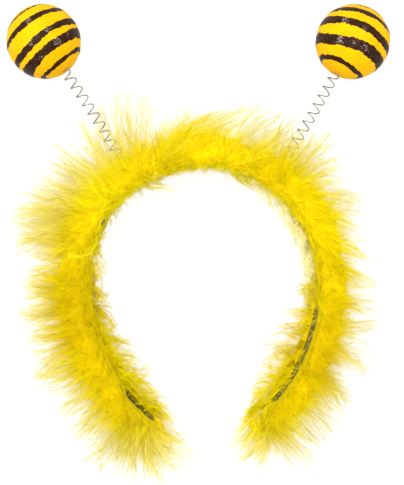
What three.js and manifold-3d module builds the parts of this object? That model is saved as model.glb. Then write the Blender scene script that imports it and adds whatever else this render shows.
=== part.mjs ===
// Bee antenna headband, lying on its back as it is put down.
// A narrow plastic band carries a feather trim and two coil springs, each with a painted foam ball.
// Millimetres, +Z up. The band's crown and the antennas point to +Y, its two tips to -Y.
import * as THREE from "three";
import { mergeVertices } from "three/addons/utils/BufferGeometryUtils.js";
import Module from "manifold-3d";

const wasm = await Module();
wasm.setup();
const radians = THREE.MathUtils.degToRad;

// Band: its inner face follows one arc over the crown and a wider arc down each arm.
const CROWN_RADIUS = 62.4;
const ARM_RADIUS = 97;
const ARM_TURN = radians(50);
const BAND_WIDTH = 10;
const BAND_THICKNESS = 1.6;
const BAND_EDGE = 0.35;
const TIP_ROUNDING = 5;
const POST_HEIGHT = 6;

// Springs: bright wire, closed coils round the post, then open coils, then a straight end in the ball.
const WIRE_RADIUS = 0.32;
const COIL_RADIUS = 2.7;
const CLOSED_TURNS = 2;
const OPEN_TURNS = 12;
const RUN_IN_TURNS = 0.6;
const RUN_IN_LENGTH = 2.6;
const WIRE_END = 7;

// Balls: foam, each with a small flat where the wire goes in.
const BALL_RADIUS = 20;
const BALL_FLAT_DEPTH = 2;

// Trim: down round the outside of the band, in staggered rows of pointed locks with hollows between them.
const LOCKS = { column: "lock", reach: 32, height: 22, inside: 14, length: 1.25, uneven: 0.16 };
const HOLLOWS = { column: "hollow", reach: 19, height: 13.5, inside: 7, length: 0.7, uneven: 0.07 };
const FRONT_LIP = 0.3;
const LOCK_SWEEP = 4;
const TRIM_OVERHANG = 15;

// Gaps between pieces that touch on the real object.
const SEAT_GAP = 0.3;
const SPRING_GAP = 0.5;

// Facets.
const CROWN_FACETS = 23;
const ARM_FACETS = 8;
const WIRE_SIDES = 5;
const STEPS_PER_TURN = 9;
const BALL_SIDES = 22;
const BALL_STEPS = 14;
const TRIM_STATIONS = 88;
const TRIM_SIDES = 22;

// The balls rest on the surface, so the band lies level with their centres.
const REST_HEIGHT = BALL_RADIUS;

// seat is the angle from the crown's top to the post, and spring is the length from the band to the ball.
// The antenna's lean, from +Y, changes evenly along its spring.
const ANTENNAS = [
  { side: "left", sign: -1, seat: 34.1, leanAtBand: 26.5, leanAtBall: 33.9, spring: 72.8 },
  { side: "right", sign: 1, seat: 35.9, leanAtBand: 35, leanAtBall: 30, spring: 70.2 },
];

// The trim's sections, from the left tip at 0 to the right tip at 1: shares of the reach of its hollows and
// locks, and of both inside the band.
const TRIM_SECTIONS = [
  { at: 0.0, hollow: 0.8, lock: 0.9, inside: 0.55 },
  { at: 0.08, hollow: 1.15, lock: 1.06, inside: 1.0 },
  { at: 0.17, hollow: 1.1, lock: 0.96, inside: 0.72 },
  { at: 0.25, hollow: 0.8, lock: 0.72, inside: 0.4 },
  { at: 0.29, hollow: 0.8, lock: 1.3, inside: 0.25 },
  { at: 0.34, hollow: 0.78, lock: 1.06, inside: 0.2 },
  { at: 0.42, hollow: 0.82, lock: 0.98, inside: 0.35 },
  { at: 0.46, hollow: 0.76, lock: 0.64, inside: 0.35 },
  { at: 0.5, hollow: 0.74, lock: 0.8, inside: 0.3 },
  { at: 0.58, hollow: 0.86, lock: 0.94, inside: 0.35 },
  { at: 0.63, hollow: 1.0, lock: 1.0, inside: 0.4 },
  { at: 0.71, hollow: 0.86, lock: 0.74, inside: 0.42 },
  { at: 0.77, hollow: 0.82, lock: 0.68, inside: 0.32 },
  { at: 0.83, hollow: 0.92, lock: 0.86, inside: 0.7 },
  { at: 0.9, hollow: 1.06, lock: 0.82, inside: 1.0 },
  { at: 0.96, hollow: 0.92, lock: 0.86, inside: 0.72 },
  { at: 1.0, hollow: 0.8, lock: 0.86, inside: 0.3 },
];

// Past each tip of the band the trim closes in a dome, with rings at these angles on the way to its pole.
const DOME_RINGS = [22, 46, 70].map(radians);

const CROWN_LENGTH = Math.PI * CROWN_RADIUS;
const ARM_LENGTH = ARM_RADIUS * ARM_TURN;
const HALF_LENGTH = CROWN_LENGTH / 2 + ARM_LENGTH;
const UP = new THREE.Vector3(0, 0, 1);

// A repeatable number from -1 to 1 for each whole seed, so that no two locks are alike.
function vary(seed) {
  const wave = Math.sin(seed * 12.9898 + 4.1414) * 43758.5453;
  return (wave - Math.floor(wave)) * 2 - 1;
}

// The value of one column of TRIM_SECTIONS at a share of the way from the left tip to the right tip.
function sectionValue(column, share) {
  const at = THREE.MathUtils.clamp(share, 0, 1);
  const next = Math.max(1, TRIM_SECTIONS.findIndex((row) => row.at >= at));
  const [low, high] = [TRIM_SECTIONS[next - 1], TRIM_SECTIONS[next]];
  return THREE.MathUtils.mapLinear(at, low.at, high.at, low[column], high[column]);
}

// The point on the band's inner face at a distance from the crown's top, negative to the left.
// outward points away from the head, and along points towards the right tip.
function bandFrame(distance) {
  const side = Math.sign(distance) || 1;
  const pastTemple = Math.abs(distance) - CROWN_LENGTH / 2;
  const turn = pastTemple / ARM_RADIUS;
  const angle = distance / CROWN_RADIUS;
  const outward =
    pastTemple > 0
      ? new THREE.Vector3(side * Math.cos(turn), -Math.sin(turn), 0)
      : new THREE.Vector3(Math.sin(angle), Math.cos(angle), 0);
  const point =
    pastTemple > 0
      ? new THREE.Vector3(side * (CROWN_RADIUS - ARM_RADIUS), 0, 0).addScaledVector(outward, ARM_RADIUS)
      : outward.clone().multiplyScalar(CROWN_RADIUS);
  point.z = REST_HEIGHT;
  return { point, outward, along: new THREE.Vector3(outward.y, -outward.x, 0) };
}

// A point of a section: out is its distance from the band's inner face, and up from the band's middle.
function sectionPoint(frame, out, up) {
  return frame.point.clone().addScaledVector(frame.outward, out).addScaledVector(UP, up);
}

// A closed body through rings of equally many points, each anticlockwise as seen from the next ring.
function loft(rings) {
  const count = rings[0].length;
  const middle = (ring) => ring.reduce((sum, p) => sum.add(p), new THREE.Vector3()).divideScalar(count);
  const points = [...rings.flat(), middle(rings[0]), middle(rings.at(-1))];
  const [firstMiddle, lastMiddle] = [points.length - 2, points.length - 1];
  const lastRing = (rings.length - 1) * count;
  const faces = [];
  for (let j = 0; j < count; j++) {
    const next = (j + 1) % count;
    for (let i = 0; i < lastRing; i += count) {
      faces.push(i + j, i + next, i + count + next, i + j, i + count + next, i + count + j);
    }
    faces.push(firstMiddle, next, j, lastMiddle, lastRing + j, lastRing + next);
  }
  return new THREE.BufferGeometry().setFromPoints(points).setIndex(faces);
}

// A geometry as a solid for joining and cutting.
function solid(geometry) {
  const bare = geometry.clone();
  bare.deleteAttribute("normal");
  bare.deleteAttribute("uv");
  const merged = mergeVertices(bare, 1e-4);
  const vertProperties = merged.attributes.position.array;
  const triVerts = new Uint32Array(merged.index.array);
  return new wasm.Manifold(new wasm.Mesh({ numProp: 3, vertProperties, triVerts }));
}

// A solid back as a geometry, with flat facets.
function geometryOf(body) {
  const { vertProperties, triVerts, numProp } = body.getMesh();
  const positions = new THREE.InterleavedBuffer(vertProperties, numProp);
  const geometry = new THREE.BufferGeometry();
  geometry.setAttribute("position", new THREE.InterleavedBufferAttribute(positions, 3, 0));
  geometry.setIndex(new THREE.BufferAttribute(triVerts, 1));
  const faceted = geometry.toNonIndexed();
  faceted.computeVertexNormals();
  return faceted;
}

// The biggest of a solid's separate bodies: the others are offcuts of locks.
function largestBody(body) {
  return body.decompose().reduce((best, piece) => (piece.volume() > best.volume() ? piece : best));
}

// An eight-cornered section of the band, with its edges eased, at a distance from the crown's top.
function bandRing(distance, width, inner, outer) {
  const half = width / 2;
  const eased = Math.min(BAND_EDGE, half / 2);
  const corners = [
    [outer, -half + eased],
    [outer, half - eased],
    [outer - eased, half],
    [inner + eased, half],
    [inner, half - eased],
    [inner, -half + eased],
    [inner + eased, -half],
    [outer - eased, -half],
  ];
  return corners.map(([out, up]) => sectionPoint(bandFrame(distance), out, up));
}

// Distances of the band's sections from the crown's top, with one facet level across the top.
function bandDistances() {
  const crown = Array.from({ length: CROWN_FACETS + 1 }, (_, i) => CROWN_LENGTH * (i / CROWN_FACETS - 0.5));
  const arm = Array.from({ length: ARM_FACETS }, (_, i) => {
    return CROWN_LENGTH / 2 + ((ARM_LENGTH - TIP_ROUNDING) * (i + 1)) / ARM_FACETS;
  });
  return [...arm.toReversed().map((d) => -d), ...crown, ...arm];
}

// The band's width at a distance from the crown's top: its tips are half round.
function widthAt(distance) {
  const intoTip = Math.max(0, Math.abs(distance) - (HALF_LENGTH - TIP_ROUNDING)) / TIP_ROUNDING;
  return BAND_WIDTH * Math.sqrt(1 - intoTip * intoTip);
}

// A post on the band's outer face, sunk into the band, that a spring's closed coils sit round.
function post(antenna) {
  const radius = COIL_RADIUS - WIRE_RADIUS - SEAT_GAP;
  const sunk = BAND_THICKNESS / 2;
  const shape = new THREE.CylinderGeometry(radius * 0.85, radius, POST_HEIGHT + sunk, 12);
  shape.translate(0, (POST_HEIGHT - sunk) / 2, 0);
  return solid(shape.applyMatrix4(antennaMatrix(antenna)));
}

function bandGeometry() {
  const tip = [0.55, 0.85, 0.97].map((share) => HALF_LENGTH - TIP_ROUNDING * (1 - share));
  const distances = [...tip.toReversed().map((d) => -d), ...bandDistances(), ...tip];
  const strip = loft(distances.map((d) => bandRing(d, widthAt(d), 0, BAND_THICKNESS)));
  return geometryOf(ANTENNAS.reduce((body, antenna) => body.add(post(antenna)), solid(strip)));
}

// Where an antenna stands: its frame has +Y along the spring's first coils.
function antennaMatrix(antenna) {
  const frame = bandFrame(antenna.sign * radians(antenna.seat) * CROWN_RADIUS);
  const seat = sectionPoint(frame, BAND_THICKNESS, 0);
  return new THREE.Matrix4().makeRotationZ(-antenna.sign * radians(antenna.leanAtBand)).setPosition(seat);
}

// The middle line of an antenna in its own frame: it starts along +Y and bends evenly.
function axisPoint(antenna, distance) {
  const bend = radians(antenna.leanAtBall - antenna.leanAtBand) / antenna.spring;
  const turned = bend * distance;
  const [cos, sin] = [Math.cos(turned), Math.sin(turned)];
  const point = new THREE.Vector3((antenna.sign * (1 - cos)) / bend, sin / bend, 0);
  return { point, aside: new THREE.Vector3(cos, -antenna.sign * sin, 0), turned };
}

// The spring's wire. Each stage gives the turns made, the distance along the axis and the coil's radius.
class SpringWire extends THREE.Curve {
  constructor(antenna) {
    super();
    this.antenna = antenna;
    this.arcLengthDivisions = 1500;
    const closed = SEAT_GAP + WIRE_RADIUS + CLOSED_TURNS * (2 * WIRE_RADIUS + SEAT_GAP);
    const coiled = CLOSED_TURNS + OPEN_TURNS;
    const open = antenna.spring - RUN_IN_LENGTH;
    const turns = coiled + RUN_IN_TURNS;
    this.stages = [
      { at: 0, turns: 0, along: SEAT_GAP + WIRE_RADIUS, radius: COIL_RADIUS },
      { at: 0.14, turns: CLOSED_TURNS, along: closed, radius: COIL_RADIUS },
      { at: 0.94, turns: coiled, along: open, radius: COIL_RADIUS },
      { at: 0.98, turns, along: antenna.spring - WIRE_RADIUS, radius: 0 },
      { at: 1, turns, along: antenna.spring + WIRE_END, radius: 0 },
    ];
  }

  getPoint(share, target = new THREE.Vector3()) {
    const next = Math.max(1, this.stages.findIndex((stage) => stage.at >= share));
    const [low, high] = [this.stages[next - 1], this.stages[next]];
    const value = (name) => THREE.MathUtils.mapLinear(share, low.at, high.at, low[name], high[name]);
    const { point, aside } = axisPoint(this.antenna, value("along"));
    const angle = 2 * Math.PI * value("turns");
    return target
      .copy(point)
      .addScaledVector(aside, value("radius") * Math.cos(angle))
      .addScaledVector(UP, value("radius") * Math.sin(angle));
  }
}

function springGeometry(antenna) {
  const corners = Array.from({ length: WIRE_SIDES }, (_, i) => {
    const angle = (2 * Math.PI * i) / WIRE_SIDES;
    return new THREE.Vector2(WIRE_RADIUS * Math.cos(angle), WIRE_RADIUS * Math.sin(angle));
  });
  const steps = Math.round((CLOSED_TURNS + OPEN_TURNS + RUN_IN_TURNS) * STEPS_PER_TURN);
  const options = { steps, bevelEnabled: false, extrudePath: new SpringWire(antenna) };
  return new THREE.ExtrudeGeometry(new THREE.Shape(corners), options);
}

// A ball about its own centre, turned round Y, with its flat and the wire's bore below.
function ballGeometry() {
  const boreRadius = WIRE_RADIUS + SEAT_GAP;
  const flatHeight = BALL_FLAT_DEPTH - BALL_RADIUS;
  const flatAngle = Math.asin(flatHeight / BALL_RADIUS);
  const profile = [
    new THREE.Vector2(0, flatHeight + WIRE_END + SEAT_GAP),
    new THREE.Vector2(boreRadius, flatHeight + WIRE_END + SEAT_GAP),
    new THREE.Vector2(boreRadius, flatHeight),
  ];
  for (let i = 0; i < BALL_STEPS; i++) {
    const angle = THREE.MathUtils.lerp(flatAngle, Math.PI / 2, i / BALL_STEPS);
    profile.push(new THREE.Vector2(BALL_RADIUS * Math.cos(angle), BALL_RADIUS * Math.sin(angle)));
  }
  profile.push(new THREE.Vector2(0, BALL_RADIUS));
  return new THREE.LatheGeometry(profile, BALL_SIDES);
}

// How far a row of the trim stands out of the band's outer face at an angle round its section.
// The angle is 0 outwards and 90 degrees upwards.
function trimReach(angle, share, row) {
  const [cos, sin] = [Math.cos(angle), Math.sin(angle)];
  const lip = sin > 0 ? FRONT_LIP : 1;
  const inside = row.inside * sectionValue("inside", share) * lip;
  const across = cos > 0 ? row.reach * sectionValue(row.column, share) : inside;
  const power = cos > 0 ? 2 : 3;
  return (Math.abs(cos / across) ** power + Math.abs(sin / row.height) ** power) ** (-1 / power);
}

// One ring of the trim. Every second point is a lock's tip, and the next ring's tips stand between them.
function trimRing({ station, distance, dome }) {
  const frame = bandFrame(distance);
  const share = (distance / HALF_LENGTH + 1) / 2;
  const past = Math.sign(distance) * Math.sin(dome);
  return Array.from({ length: TRIM_SIDES }, (_, i) => {
    const isLock = (i + station) % 2 === 0;
    const seed = station * TRIM_SIDES + i + 1;
    const angle = (2 * Math.PI * (i + 0.25 * vary(seed))) / TRIM_SIDES;
    const row = isLock ? LOCKS : HOLLOWS;
    const size = 1 + row.uneven * vary(seed + 5000);
    const reach = trimReach(angle, share, row) * size * Math.cos(dome);
    const sweep = isLock ? LOCK_SWEEP * vary(seed + 9000) : 0;
    const along = past * TRIM_OVERHANG * row.length * size + sweep;
    const point = sectionPoint(frame, BAND_THICKNESS + reach * Math.cos(angle), reach * Math.sin(angle));
    point.addScaledVector(frame.along, along);
    point.z = Math.max(point.z, 0);
    return point;
  });
}

function trimBody() {
  const rings = Array.from({ length: TRIM_STATIONS + 1 }, (_, i) => {
    return { station: i, distance: HALF_LENGTH * ((2 * i) / TRIM_STATIONS - 1), dome: 0 };
  });
  for (const [i, dome] of DOME_RINGS.entries()) {
    rings.unshift({ station: i + 1, distance: -HALF_LENGTH, dome });
    rings.push({ station: TRIM_STATIONS + i + 1, distance: HALF_LENGTH, dome });
  }
  return solid(loft(rings.map(trimRing)));
}

// What the trim is cut back by: the band with a clearance, and the space before its inner face.
function bandClearance() {
  const width = BAND_WIDTH + 2 * SEAT_GAP;
  const before = 2 * LOCKS.inside;
  const ends = [-1, 1].map((side) => side * (HALF_LENGTH + SEAT_GAP));
  const distances = [ends[0], ...bandDistances(), ends[1]];
  return solid(loft(distances.map((d) => bandRing(d, width, -before, BAND_THICKNESS + SEAT_GAP))));
}

// The space that a spring takes up inside the trim.
function springClearance(antenna) {
  const radius = COIL_RADIUS + WIRE_RADIUS + SPRING_GAP;
  const length = 1.5 * LOCKS.reach;
  const rings = [0, 0.3, 0.6, 1].map((share) => {
    const { point, aside } = axisPoint(antenna, share * length - BAND_THICKNESS / 2);
    return Array.from({ length: 10 }, (_, i) => {
      const angle = (-2 * Math.PI * i) / 10;
      const corner = point.clone().addScaledVector(aside, radius * Math.cos(angle));
      return corner.addScaledVector(UP, radius * Math.sin(angle));
    });
  });
  return solid(loft(rings).applyMatrix4(antennaMatrix(antenna)));
}

function trimGeometry() {
  const spaces = [bandClearance(), ...ANTENNAS.map(springClearance)];
  return geometryOf(largestBody(trimBody().subtract(wasm.Manifold.union(spaces))));
}

const plastic = new THREE.MeshStandardMaterial({ color: 0x17140f, roughness: 0.25, metalness: 0 });
const down = new THREE.MeshStandardMaterial({ color: 0xf7dc0a, roughness: 0.9, metalness: 0 });
const steel = new THREE.MeshStandardMaterial({ color: 0xa9a79c, roughness: 0.3, metalness: 1 });
const paint = new THREE.MeshStandardMaterial({ color: 0xffc905, roughness: 0.5, metalness: 0 });

function piece(name, geometry, material) {
  const mesh = new THREE.Mesh(geometry, material);
  mesh.name = name;
  return mesh;
}

// One antenna in its own frame: the spring, and the ball on the end of it.
function antennaGroup(antenna) {
  const group = new THREE.Group();
  group.applyMatrix4(antennaMatrix(antenna));
  const ball = piece(`${antenna.side}_ball`, ballGeometry(), paint);
  const { point, turned } = axisPoint(antenna, antenna.spring);
  const standOff = new THREE.Vector3(antenna.sign * Math.sin(turned), Math.cos(turned), 0);
  ball.position.copy(point).addScaledVector(standOff, BALL_RADIUS - BALL_FLAT_DEPTH);
  ball.rotation.z = -antenna.sign * turned;
  group.add(piece(`${antenna.side}_spring`, springGeometry(antenna), steel), ball);
  return group;
}

const headband = new THREE.Group();
headband.add(piece("band", bandGeometry(), plastic));
headband.add(piece("feather_trim", trimGeometry(), down));
headband.add(...ANTENNAS.map(antennaGroup));

// The origin is the middle of the footprint, on the surface that the headband lies on.
const box = new THREE.Box3().setFromObject(headband, true);
headband.position.set(-(box.min.x + box.max.x) / 2, -(box.min.y + box.max.y) / 2, -box.min.z);

export default headband;
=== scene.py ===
"""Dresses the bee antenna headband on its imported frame.

Lengths are in millimetres, in the row frame, until a mesh is written in metres. The band lies flat, with
+Y towards the antennas and +Z across the band's width. Across the band, out is measured from its inner face
and up from its middle.
"""

import logging
import math
from dataclasses import dataclass, field
from enum import Enum

import bpy
import numpy as np
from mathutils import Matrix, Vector


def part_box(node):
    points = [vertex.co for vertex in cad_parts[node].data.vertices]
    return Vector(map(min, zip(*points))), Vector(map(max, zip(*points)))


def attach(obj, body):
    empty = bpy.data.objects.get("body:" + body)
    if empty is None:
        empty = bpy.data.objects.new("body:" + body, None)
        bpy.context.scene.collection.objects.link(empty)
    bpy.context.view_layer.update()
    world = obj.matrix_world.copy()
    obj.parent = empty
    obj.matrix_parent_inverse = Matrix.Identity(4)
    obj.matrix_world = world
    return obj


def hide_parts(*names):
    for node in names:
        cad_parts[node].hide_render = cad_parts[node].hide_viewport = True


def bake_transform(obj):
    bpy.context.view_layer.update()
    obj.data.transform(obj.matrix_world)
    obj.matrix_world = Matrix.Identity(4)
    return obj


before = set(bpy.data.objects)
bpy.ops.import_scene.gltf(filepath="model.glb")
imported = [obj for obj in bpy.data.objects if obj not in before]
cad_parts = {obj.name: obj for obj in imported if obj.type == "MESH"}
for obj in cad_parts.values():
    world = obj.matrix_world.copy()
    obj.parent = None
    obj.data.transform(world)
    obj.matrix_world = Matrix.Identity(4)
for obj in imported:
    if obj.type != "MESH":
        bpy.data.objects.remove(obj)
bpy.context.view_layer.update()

MM = 0.001
UV_NAME = "OFBake"
UP = np.array([0.0, 0.0, 1.0])
LOG = logging.getLogger("bee_headband")


class Body(Enum):
    """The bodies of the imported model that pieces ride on."""

    HEADBAND = "headband"
    LEFT = "left_antenna"
    RIGHT = "right_antenna"


class Slot(Enum):
    """The record's material slots."""

    BAND = "band"
    DOWN = "down"
    WIRE = "wire"
    BALL = "ball"


# ---------------------------------------------------------------------------------------------------------
# Small helpers
# ---------------------------------------------------------------------------------------------------------


def unit(vectors: np.ndarray) -> np.ndarray:
    """Returns the vectors at length 1, along the last axis."""
    return vectors / np.maximum(np.linalg.norm(vectors, axis=-1, keepdims=True), 1e-9)


def across(vectors: np.ndarray, axis: np.ndarray) -> np.ndarray:
    """Returns the part of each vector that is square to its axis, at length 1."""
    return unit(vectors - (vectors * axis).sum(-1, keepdims=True) * axis)


def smooth_step(values: np.ndarray) -> np.ndarray:
    """Returns a smooth rise from 0 to 1 of values between 0 and 1."""
    held = np.clip(values, 0.0, 1.0)
    return held * held * (3.0 - 2.0 * held)


def give(past: np.ndarray, play: np.ndarray | float) -> np.ndarray:
    """Returns how far down gives way past a limit, which is never more than its play."""
    return play * (1 - np.exp(-past / play))


def round_section(outward: np.ndarray, angle: np.ndarray) -> np.ndarray:
    """Returns the directions at angles round the band's section, from outwards to upwards."""
    return outward * np.cos(angle)[:, None] + UP * np.sin(angle)[:, None]


def circle(around: int, aside: np.ndarray, ahead: np.ndarray) -> np.ndarray:
    """Returns points evenly round a circle of radius 1, from one direction to the other."""
    turn = np.linspace(0, 2 * math.pi, around, endpoint=False)[:, None]
    return np.cos(turn) * aside[..., None, :] + np.sin(turn) * ahead[..., None, :]


@dataclass
class Waves:
    """Smooth seeded noise made of sine waves.

    Attributes:
        seed: The seed of the waves.
        dimensions: How many coordinates a place has.
        octaves: How many sizes of wave are added.
    """

    seed: int
    dimensions: int = 2
    octaves: int = 5

    def __post_init__(self) -> None:
        """Draws the directions and phases of the waves."""
        rng = np.random.default_rng(self.seed)
        self.steps = rng.normal(size=(self.octaves * 3, self.dimensions))
        self.phases = rng.uniform(0, 2 * math.pi, self.octaves * 3)
        self.sizes = np.repeat(1.6 ** -np.arange(self.octaves), 3)
        self.steps *= np.repeat(1.7 ** np.arange(self.octaves), 3)[:, None]

    def at(self, places: np.ndarray) -> np.ndarray:
        """Reads the noise.

        Args:
            places: Coordinates in wavelengths, of shape (..., dimensions).

        Returns:
            Values of about -1 to 1, of shape (...).
        """
        total = sum(
            size * np.sin(places @ step + phase) for size, step, phase in zip(self.sizes, self.steps, self.phases)
        )
        return total / (1.1 * math.sqrt((self.sizes**2).sum()))


@dataclass
class MeshParts:
    """What a mesh is made from.

    Attributes:
        points: Vertices in millimetres, of shape (n, 3).
        quads: Corner numbers of the four-sided faces, of shape (q, 4).
        triangles: Corner numbers of the three-sided faces, of shape (t, 3).
        uv: A place in the UV map for each vertex, of shape (n, 2).
        values: Named vertex values, each of shape (n,).
        normals: Shading normals for each vertex, or None for the mesh's own.
    """

    points: np.ndarray
    quads: np.ndarray
    triangles: np.ndarray = field(default_factory=lambda: np.zeros((0, 3), int))
    uv: np.ndarray | None = None
    values: dict[str, np.ndarray] = field(default_factory=dict)
    normals: np.ndarray | None = None

    def build(self, name: str, material: bpy.types.Material) -> bpy.types.Object:
        """Writes the mesh and its object.

        Args:
            name: The piece's name.
            material: The finish of the whole piece.

        Returns:
            The new object, linked to the scene.
        """
        mesh = bpy.data.meshes.new(name)
        corners = np.concatenate([self.quads.ravel(), self.triangles.ravel()])
        starts = np.concatenate(
            [np.arange(len(self.quads)) * 4, self.quads.size + np.arange(len(self.triangles)) * 3]
        )
        mesh.vertices.add(len(self.points))
        mesh.vertices.foreach_set("co", (self.points * MM).astype(np.float32).ravel())
        mesh.loops.add(len(corners))
        mesh.loops.foreach_set("vertex_index", corners.astype(np.int32))
        mesh.polygons.add(len(starts))
        mesh.polygons.foreach_set("loop_start", starts.astype(np.int32))
        mesh.polygons.foreach_set("use_smooth", np.ones(len(starts), bool))
        mesh.update(calc_edges=True)
        mesh.validate()
        if self.uv is not None:
            layer = mesh.uv_layers.new(name=UV_NAME, do_init=False)
            layer.uv.foreach_set("vector", self.uv[corners].astype(np.float32).ravel())
        for value_name, values in self.values.items():
            attribute = mesh.attributes.new(value_name, "FLOAT", "POINT")
            attribute.data.foreach_set("value", values.astype(np.float32))
        if self.normals is not None:
            mesh.normals_split_custom_set_from_vertices(self.normals)
        mesh.materials.append(material)
        piece = bpy.data.objects.new(name, mesh)
        bpy.context.scene.collection.objects.link(piece)
        return piece


def grid_quads(rings: int, around: int, closed: bool = True) -> np.ndarray:
    """Numbers the faces between rings of points.

    Args:
        rings: How many rings there are.
        around: How many points each ring has.
        closed: Whether each ring's last point joins its first.

    Returns:
        Corner numbers, of shape (faces, 4).
    """
    low, step = np.meshgrid(np.arange(rings - 1), np.arange(around if closed else around - 1), indexing="ij")
    here, beside = low * around + step, low * around + (step + 1) % around
    return np.stack([here, beside, beside + around, here + around], -1).reshape(-1, 4)


def cap(ring: np.ndarray, centre: int, turned: bool) -> np.ndarray:
    """Numbers the triangles that close a ring with one centre point.

    Args:
        ring: The ring's point numbers.
        centre: The centre point's number.
        turned: Whether the faces look the other way.

    Returns:
        Corner numbers, of shape (len(ring), 3).
    """
    faces = np.stack([ring, np.roll(ring, -1), np.full(len(ring), centre)], -1)
    return faces[:, ::-1] if turned else faces


def closed_loft(walls: np.ndarray, first: np.ndarray, last: np.ndarray, turned: bool = False) -> MeshParts:
    """Joins rings of points into one skin that is closed at both ends.

    Args:
        walls: The rings, of shape (rings, around, 3).
        first: The centre point that closes the first ring.
        last: The centre point that closes the last ring.
        turned: Whether the faces look the other way.

    Returns:
        The skin, with the two centre points as its last ones.
    """
    rings, around = walls.shape[:2]
    count, ring = rings * around, np.arange(around)
    caps = [cap(ring, count, not turned), cap(ring + count - around, count + 1, turned)]
    quads = grid_quads(rings, around)
    points = np.concatenate([walls.reshape(-1, 3), [first, last]])
    return MeshParts(points, quads[:, ::-1] if turned else quads, np.concatenate(caps))


# ---------------------------------------------------------------------------------------------------------
# Finishes
# ---------------------------------------------------------------------------------------------------------


class NodeSheet:
    """Places nodes in one node tree and links them."""

    def __init__(self, tree: bpy.types.NodeTree) -> None:
        """Keeps the tree and empties it."""
        self.tree = tree
        tree.nodes.clear()

    def add(self, kind: str, inputs: dict | None = None, **settings: object) -> bpy.types.Node:
        """Adds one node.

        Args:
            kind: The node's type.
            inputs: A value, or the socket to link, for each named or numbered input.
            **settings: The node's own properties.

        Returns:
            The new node.
        """
        node = self.tree.nodes.new(kind)
        for name, value in settings.items():
            setattr(node, name, value)
        for name, value in (inputs or {}).items():
            if isinstance(value, bpy.types.NodeSocket):
                self.tree.links.new(value, node.inputs[name])
            else:
                node.inputs[name].default_value = value
        return node

    def mix(self, factor: object, low: object, high: object) -> bpy.types.NodeSocket:
        """Mixes two colours and returns the result."""
        return self.add("ShaderNodeMix", {0: factor, 6: low, 7: high}, data_type="RGBA").outputs[2]

    def math(self, operation: str, *values: object) -> bpy.types.NodeSocket:
        """Does one sum and returns the result."""
        return self.add("ShaderNodeMath", dict(enumerate(values)), operation=operation).outputs[0]

    def step(self, value: object, low: float, high: float, lowest: float = 0.0, highest: float = 1.0) -> object:
        """Maps a range to another with smooth ends and returns the result."""
        inputs = {"Value": value, "From Min": low, "From Max": high, "To Min": lowest, "To Max": highest}
        return self.add("ShaderNodeMapRange", inputs, interpolation_type="SMOOTHSTEP").outputs[0]

    def value(self, name: str) -> bpy.types.NodeSocket:
        """Reads a named vertex value."""
        return self.add("ShaderNodeAttribute", attribute_name=name).outputs["Fac"]

    def place(self) -> bpy.types.NodeSocket:
        """Reads the place in the object's own space."""
        return self.add("ShaderNodeTexCoord").outputs["Object"]

    def noise(self, place: object, scale: object, detail: float) -> bpy.types.NodeSocket:
        """Adds soft noise at a place and returns its value."""
        inputs = {"Vector": place, "Scale": scale, "Detail": detail}
        return self.add("ShaderNodeTexNoise", inputs).outputs["Fac"]

    def bump(self, height: object, strength: float, distance: float) -> bpy.types.NodeSocket:
        """Turns a height into a normal, for a relief of that many metres, and returns it."""
        inputs = {"Height": height, "Strength": strength, "Distance": distance}
        return self.add("ShaderNodeBump", inputs).outputs["Normal"]

    def principled(self, inputs: dict) -> bpy.types.NodeSocket:
        """Adds the main shader and returns its output."""
        return self.add("ShaderNodeBsdfPrincipled", inputs).outputs[0]

    def group(self, tree: bpy.types.NodeTree, inputs: dict) -> bpy.types.bpy_prop_collection:
        """Adds a node group and returns its outputs."""
        return self.add("ShaderNodeGroup", inputs, node_tree=tree).outputs

    def uneven(self, tree: bpy.types.NodeTree, patch_scale: float, grain_scale: float) -> tuple:
        """Adds the uneven surface, with its scales per metre, and returns its patches and its grain."""
        made = self.group(tree, {"Place": self.place(), "Patch Scale": patch_scale, "Grain Scale": grain_scale})
        return made["Patches"], made["Grain"]


def new_group(name: str, inputs: dict[str, str], outputs: dict[str, str]) -> tuple:
    """Starts a shader node group.

    Args:
        name: The group's name.
        inputs: The socket type of each input.
        outputs: The socket type of each output.

    Returns:
        The tree, its sheet, its input sockets by name and its output node.
    """
    tree = bpy.data.node_groups.new(name, "ShaderNodeTree")
    for socket, kind in inputs.items():
        tree.interface.new_socket(socket, in_out="INPUT", socket_type=kind)
    for socket, kind in outputs.items():
        tree.interface.new_socket(socket, in_out="OUTPUT", socket_type=kind)
    sheet = NodeSheet(tree)
    given = sheet.add("NodeGroupInput")
    return tree, sheet, given.outputs, sheet.add("NodeGroupOutput")


def unevenness_group() -> bpy.types.NodeTree:
    """Makes the shared effect of an uneven surface: a soft mask and a fine height.

    Returns:
        The node group.
    """
    inputs = {"Place": "NodeSocketVector", "Patch Scale": "NodeSocketFloat", "Grain Scale": "NodeSocketFloat"}
    outputs = {"Patches": "NodeSocketFloat", "Grain": "NodeSocketFloat"}
    tree, sheet, given, result = new_group("Uneven surface", inputs, outputs)
    patches = sheet.noise(given["Place"], given["Patch Scale"], 3.0)
    tree.links.new(sheet.step(patches, 0.3, 0.7), result.inputs["Patches"])
    tree.links.new(sheet.noise(given["Place"], given["Grain Scale"], 4.0), result.inputs["Grain"])
    return tree


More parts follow.
